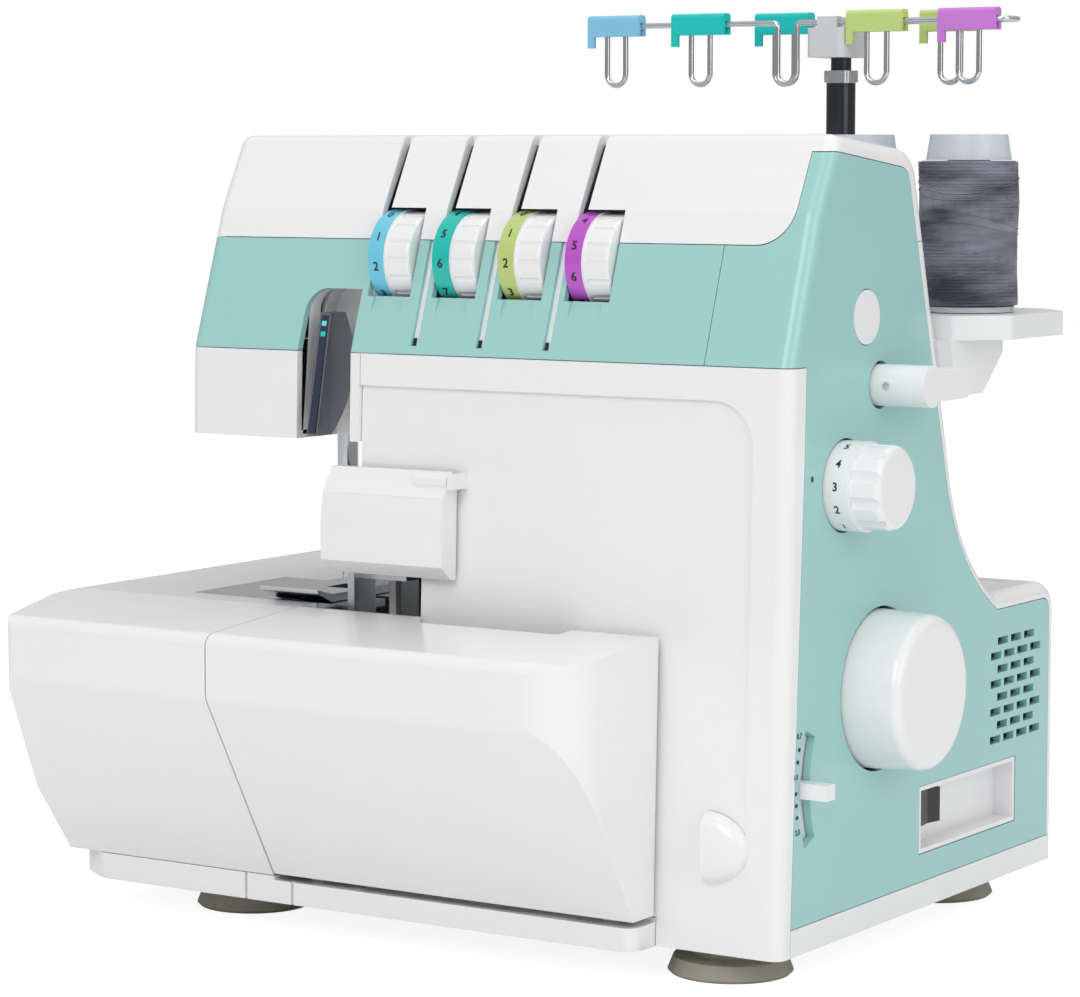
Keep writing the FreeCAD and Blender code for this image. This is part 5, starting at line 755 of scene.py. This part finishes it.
class OVERLOCK_OT_windings(bpy.types.Operator):
    """Wind thread on the four spools"""
    bl_idname = "overlock.windings"
    bl_label = "Windings"

    def execute(self, context):
        sizes = context.scene.overlock_sizes
        grey = piece("wound_grey", winding(sizes, GREY_SPOOL), finish_of("grey_thread"),
                     "machine_body")
        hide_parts("grey_thread")
        rest = [part for i in WHITE_SPOOLS for part in winding(sizes, i)]
        white = piece("wound_white", rest, finish_of("white_threads"),
                      "machine_body")
        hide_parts("white_threads")
        return {"FINISHED"}


class OVERLOCK_OT_figures(bpy.types.Operator):
    """Print the figures on the tension dials and the stitch length dial"""
    bl_idname = "overlock.figures"
    bl_label = "Figures"

    def execute(self, context):
        sizes = context.scene.overlock_sizes
        black = bpy.data.materials["print_black"]
        axis = (sizes.dial_y, sizes.dial_z)
        radius = sizes.dial_radius + sizes.print_lift
        for i, shown in enumerate(TENSION_SHOWN):
            x = sizes.dial_first + sizes.dial_pitch * i + sizes.dial_band / 2
            parts = drum_figures(TENSION_FIGURES, shown, TENSION_STEP, sizes.figure_high,
                                 x, axis, radius)
            piece(f"figures_{i + 1}", parts, black, f"tension_dial_{i + 1}",
                  smooth=False)
        axis = (sizes.stitch_y, sizes.stitch_z)
        radius = sizes.stitch_radius + sizes.print_lift
        parts = drum_figures(STITCH_FIGURES, STITCH_SHOWN, STITCH_STEP, sizes.stitch_high,
                             sizes.stitch_x, axis, radius)
        piece("stitch_figures", parts, black, "stitch_length_dial", smooth=False)
        return {"FINISHED"}


class OVERLOCK_OT_marks(bpy.types.Operator):
    """Print the side panel's pointer dot and feed scale"""
    bl_idname = "overlock.marks"
    bl_label = "Marks"

    def execute(self, context):
        sizes = context.scene.overlock_sizes
        x = sizes.side_face + sizes.print_lift
        parts = [side_dot(x, sizes.pointer_y, sizes.pointer_z, sizes.pointer_across,
                          sizes.pointer_tall)]
        for degrees in FEED_DOTS:
            turn = math.radians(degrees)
            parts.append(side_dot(x, sizes.feed_y - sizes.feed_radius * math.cos(turn),
                                  sizes.feed_z + sizes.feed_radius * math.sin(turn),
                                  sizes.feed_across, sizes.feed_tall))
        for word, y, z, size in FEED_FIGURES:
            parts.append(side_figure(word, size, x, y, z))
        piece("panel_marks", parts, bpy.data.materials["print_black"], "machine_body",
              smooth=False)
        return {"FINISHED"}


class OVERLOCK_OT_trim(bpy.types.Operator):
    """Line the grooves and the recess, raise the thumb bump and close the knife guard's top"""
    bl_idname = "overlock.trim"
    bl_label = "Trim"

    def execute(self, context):
        sizes = context.scene.overlock_sizes
        white = finish_of("front_housing")

        def behind(height, depth):
            """(y, z) at a depth behind the coloured band's face."""
            return band_depth(sizes, height) + depth, height
        deep, low, high = sizes.groove_deep, sizes.groove_low, sizes.groove_high
        tick_deep = deep - 2 * sizes.print_lift
        linings, ticks = [], []
        for i in range(GROOVES):
            dial_left = sizes.dial_first + sizes.dial_pitch * i
            left, right = dial_left + sizes.groove_from, dial_left + sizes.groove_to
            linings.append(slanted_strip(left, right, behind(low, deep), behind(high, deep)))
            ticks.append(slanted_strip(left, (left + right) / 2, behind(low, tick_deep),
                                       behind(low + sizes.tick_high, tick_deep)))
        piece("groove_linings", linings, white, "machine_body", smooth=False)
        piece("groove_ticks", ticks, bpy.data.materials["print_black"], "machine_body",
              smooth=False)
        piece("thumb_bump", half_dome(sizes), white, "machine_body")
        piece("recess_lining", [recess_lining(sizes)], white, "machine_body")
        piece("guard_cap", [guard_cap(sizes)], white, "knife_guard", smooth=False)
        return {"FINISHED"}


class OVERLOCK_OT_take_up(bpy.types.Operator):
    """Lay the navy strip and its two threading dots on the take-up lever"""
    bl_idname = "overlock.take_up"
    bl_label = "Take-up strip"

    def execute(self, context):
        sizes, tints = context.scene.overlock_sizes, context.scene.overlock_colours
        lift = np.array([sizes.print_lift, 0.0])
        low = np.array([sizes.strip_foot_y, sizes.strip_foot_z]) - lift
        high = np.array([sizes.strip_top_y, sizes.strip_top_z]) - lift
        strip = slanted_strip(sizes.strip_left, sizes.strip_right, low, high)
        piece("take_up_strip", [strip], moulded("navy_strip", tints.navy, rough=0.3, coat=0.2),
              "take_up_lever", smooth=False)
        half = np.array([sizes.dot_deep, sizes.dot_high])
        left, right = sizes.strip_left + sizes.dot_inset, sizes.strip_right - sizes.dot_inset
        for name, slot, rgb, share in (("take_up_dot_1", "light_blue_clip", tints.blue, FIRST_DOT),
                                       ("take_up_dot_2", "teal_clip", tints.teal, SECOND_DOT)):
            middle = low + (high - low) * share - lift
            dot = slanted_strip(left, right, middle - half, middle + half, rows=2)
            piece(name, [dot], ink(name, rgb), "take_up_lever", smooth=False)
        return {"FINISHED"}


def floor_material(tints):
    """Pale floor that reads as white to the camera and still takes the shadow."""
    finish = Finish("floor")
    seen = finish.add("ShaderNodeLightPath", output="Is Camera Ray")
    finish.set(base_color=finish.mix(finish.noise(scale=3.0), tints.floor_low, tints.floor_high),
               roughness=0.9)
    surface = Shade(finish, finish.shader.outputs["BSDF"])
    glow = finish.add("ShaderNodeEmission", inputs={"Color": WHITE, "Strength": FLOOR_GLOW})
    both = finish.add("ShaderNodeMixShader",
                      inputs={0: seen * FLOOR_GLOW_SHARE, 1: surface, 2: glow})
    finish.feed(finish.tree.nodes["Material Output"], "Surface", both)
    return finish.material


def studio_world():
    """World that is white behind the machine, and as a light a sky that darkens downwards."""
    world = bpy.data.worlds.new("studio")
    world.use_nodes = True
    studio = Nodes(world.node_tree)
    seen = studio.add("ShaderNodeLightPath", output="Is Camera Ray")
    through = studio.add("ShaderNodeLightPath", output="Is Transmission Ray")
    shown = seen.math("MAXIMUM", seen, through)
    ray = studio.add("ShaderNodeTexCoord", output="Generated")
    height = studio.add("ShaderNodeSeparateXYZ", inputs={0: ray}, output="Z")
    sky = studio.add("ShaderNodeMapRange", {"interpolation_type": "SMOOTHSTEP"}, {
        "Value": height, "From Min": SKY_HEIGHTS[0], "From Max": SKY_HEIGHTS[1],
        "To Min": SKY_LEVELS[0], "To Max": SKY_LEVELS[1]})
    background = world.node_tree.nodes["Background"]
    studio.feed(background, "Color", WHITE)
    studio.feed(background, "Strength", sky + shown * (1.0 - sky))
    return world


class OVERLOCK_OT_stage(bpy.types.Operator):
    """Set the floor, the white surroundings, the soft lamps and the camera"""
    bl_idname = "overlock.stage"
    bl_label = "Stage"

    def execute(self, context):
        scene = context.scene
        side = [-FLOOR_REACH, FLOOR_REACH]
        x, y = np.meshgrid(side, side, indexing="ij")
        vertices, faces = grid_mesh(np.stack([x, y, np.zeros_like(x)], axis=-1))
        mesh = bpy.data.meshes.new("floor")
        mesh.from_pydata(vertices.tolist(), [], faces.tolist())
        mesh.materials.append(floor_material(scene.overlock_colours))
        floor = bpy.data.objects.new("floor", mesh)
        scene.collection.objects.link(floor)
        scene.world = studio_world()
        for name, spot, size, watts in LAMPS:
            lamp = bpy.data.lights.new(name, "AREA")
            lamp.size = size
            lamp.energy = watts
            holder = bpy.data.objects.new(name, lamp)
            holder.location = spot
            aim = Vector(LAMP_AIM) - Vector(spot)
            holder.rotation_euler = aim.to_track_quat("-Z", "Y").to_euler()
            scene.collection.objects.link(holder)
        camera = bpy.data.cameras.new("camera")
        camera.lens = CAMERA_LENS_MM
        camera.sensor_width = CAMERA_SENSOR_MM
        holder = bpy.data.objects.new("camera", camera)
        holder.location = CAMERA_PLACE
        holder.rotation_euler = (math.radians(CAMERA_TILT), 0.0, math.radians(CAMERA_TURN))
        scene.collection.objects.link(holder)
        scene.camera = holder
        scene.view_settings.view_transform = "Standard"
        return {"FINISHED"}


class OVERLOCK_PT_panel(bpy.types.Panel):
    """Sizes, colours and build steps of the overlock machine"""
    bl_label = "Overlock machine"
    bl_idname = "OVERLOCK_PT_panel"
    bl_space_type = "VIEW_3D"
    bl_region_type = "UI"
    bl_category = "Overlock"

    def draw(self, context):
        for group in (context.scene.overlock_sizes, context.scene.overlock_colours):
            column = self.layout.column(align=True)
            for name in group.__annotations__:
                column.prop(group, name)
        for step in STEPS:
            self.layout.operator(step.bl_idname)


STEPS = (OVERLOCK_OT_finishes, OVERLOCK_OT_windings, OVERLOCK_OT_figures, OVERLOCK_OT_marks,
         OVERLOCK_OT_trim, OVERLOCK_OT_take_up, OVERLOCK_OT_stage)
CLASSES = (OverlockSizes, OverlockColours) + STEPS + (OVERLOCK_PT_panel,)


def register():
    """Add the classes and the scene's settings."""
    for kind in CLASSES:
        bpy.utils.register_class(kind)
    bpy.types.Scene.overlock_sizes = bpy.props.PointerProperty(type=OverlockSizes)
    bpy.types.Scene.overlock_colours = bpy.props.PointerProperty(type=OverlockColours)


def unregister():
    """Take the scene's settings and the classes away again."""
    del bpy.types.Scene.overlock_colours
    del bpy.types.Scene.overlock_sizes
    for kind in reversed(CLASSES):
        bpy.utils.unregister_class(kind)


def main():
    """Build the scene."""
    register()
    bpy.ops.overlock.finishes()
    bpy.ops.overlock.windings()
    bpy.ops.overlock.figures()
    bpy.ops.overlock.marks()
    bpy.ops.overlock.trim()
    bpy.ops.overlock.take_up()
    bpy.ops.overlock.stage()


if __name__ == "__main__":
    main()
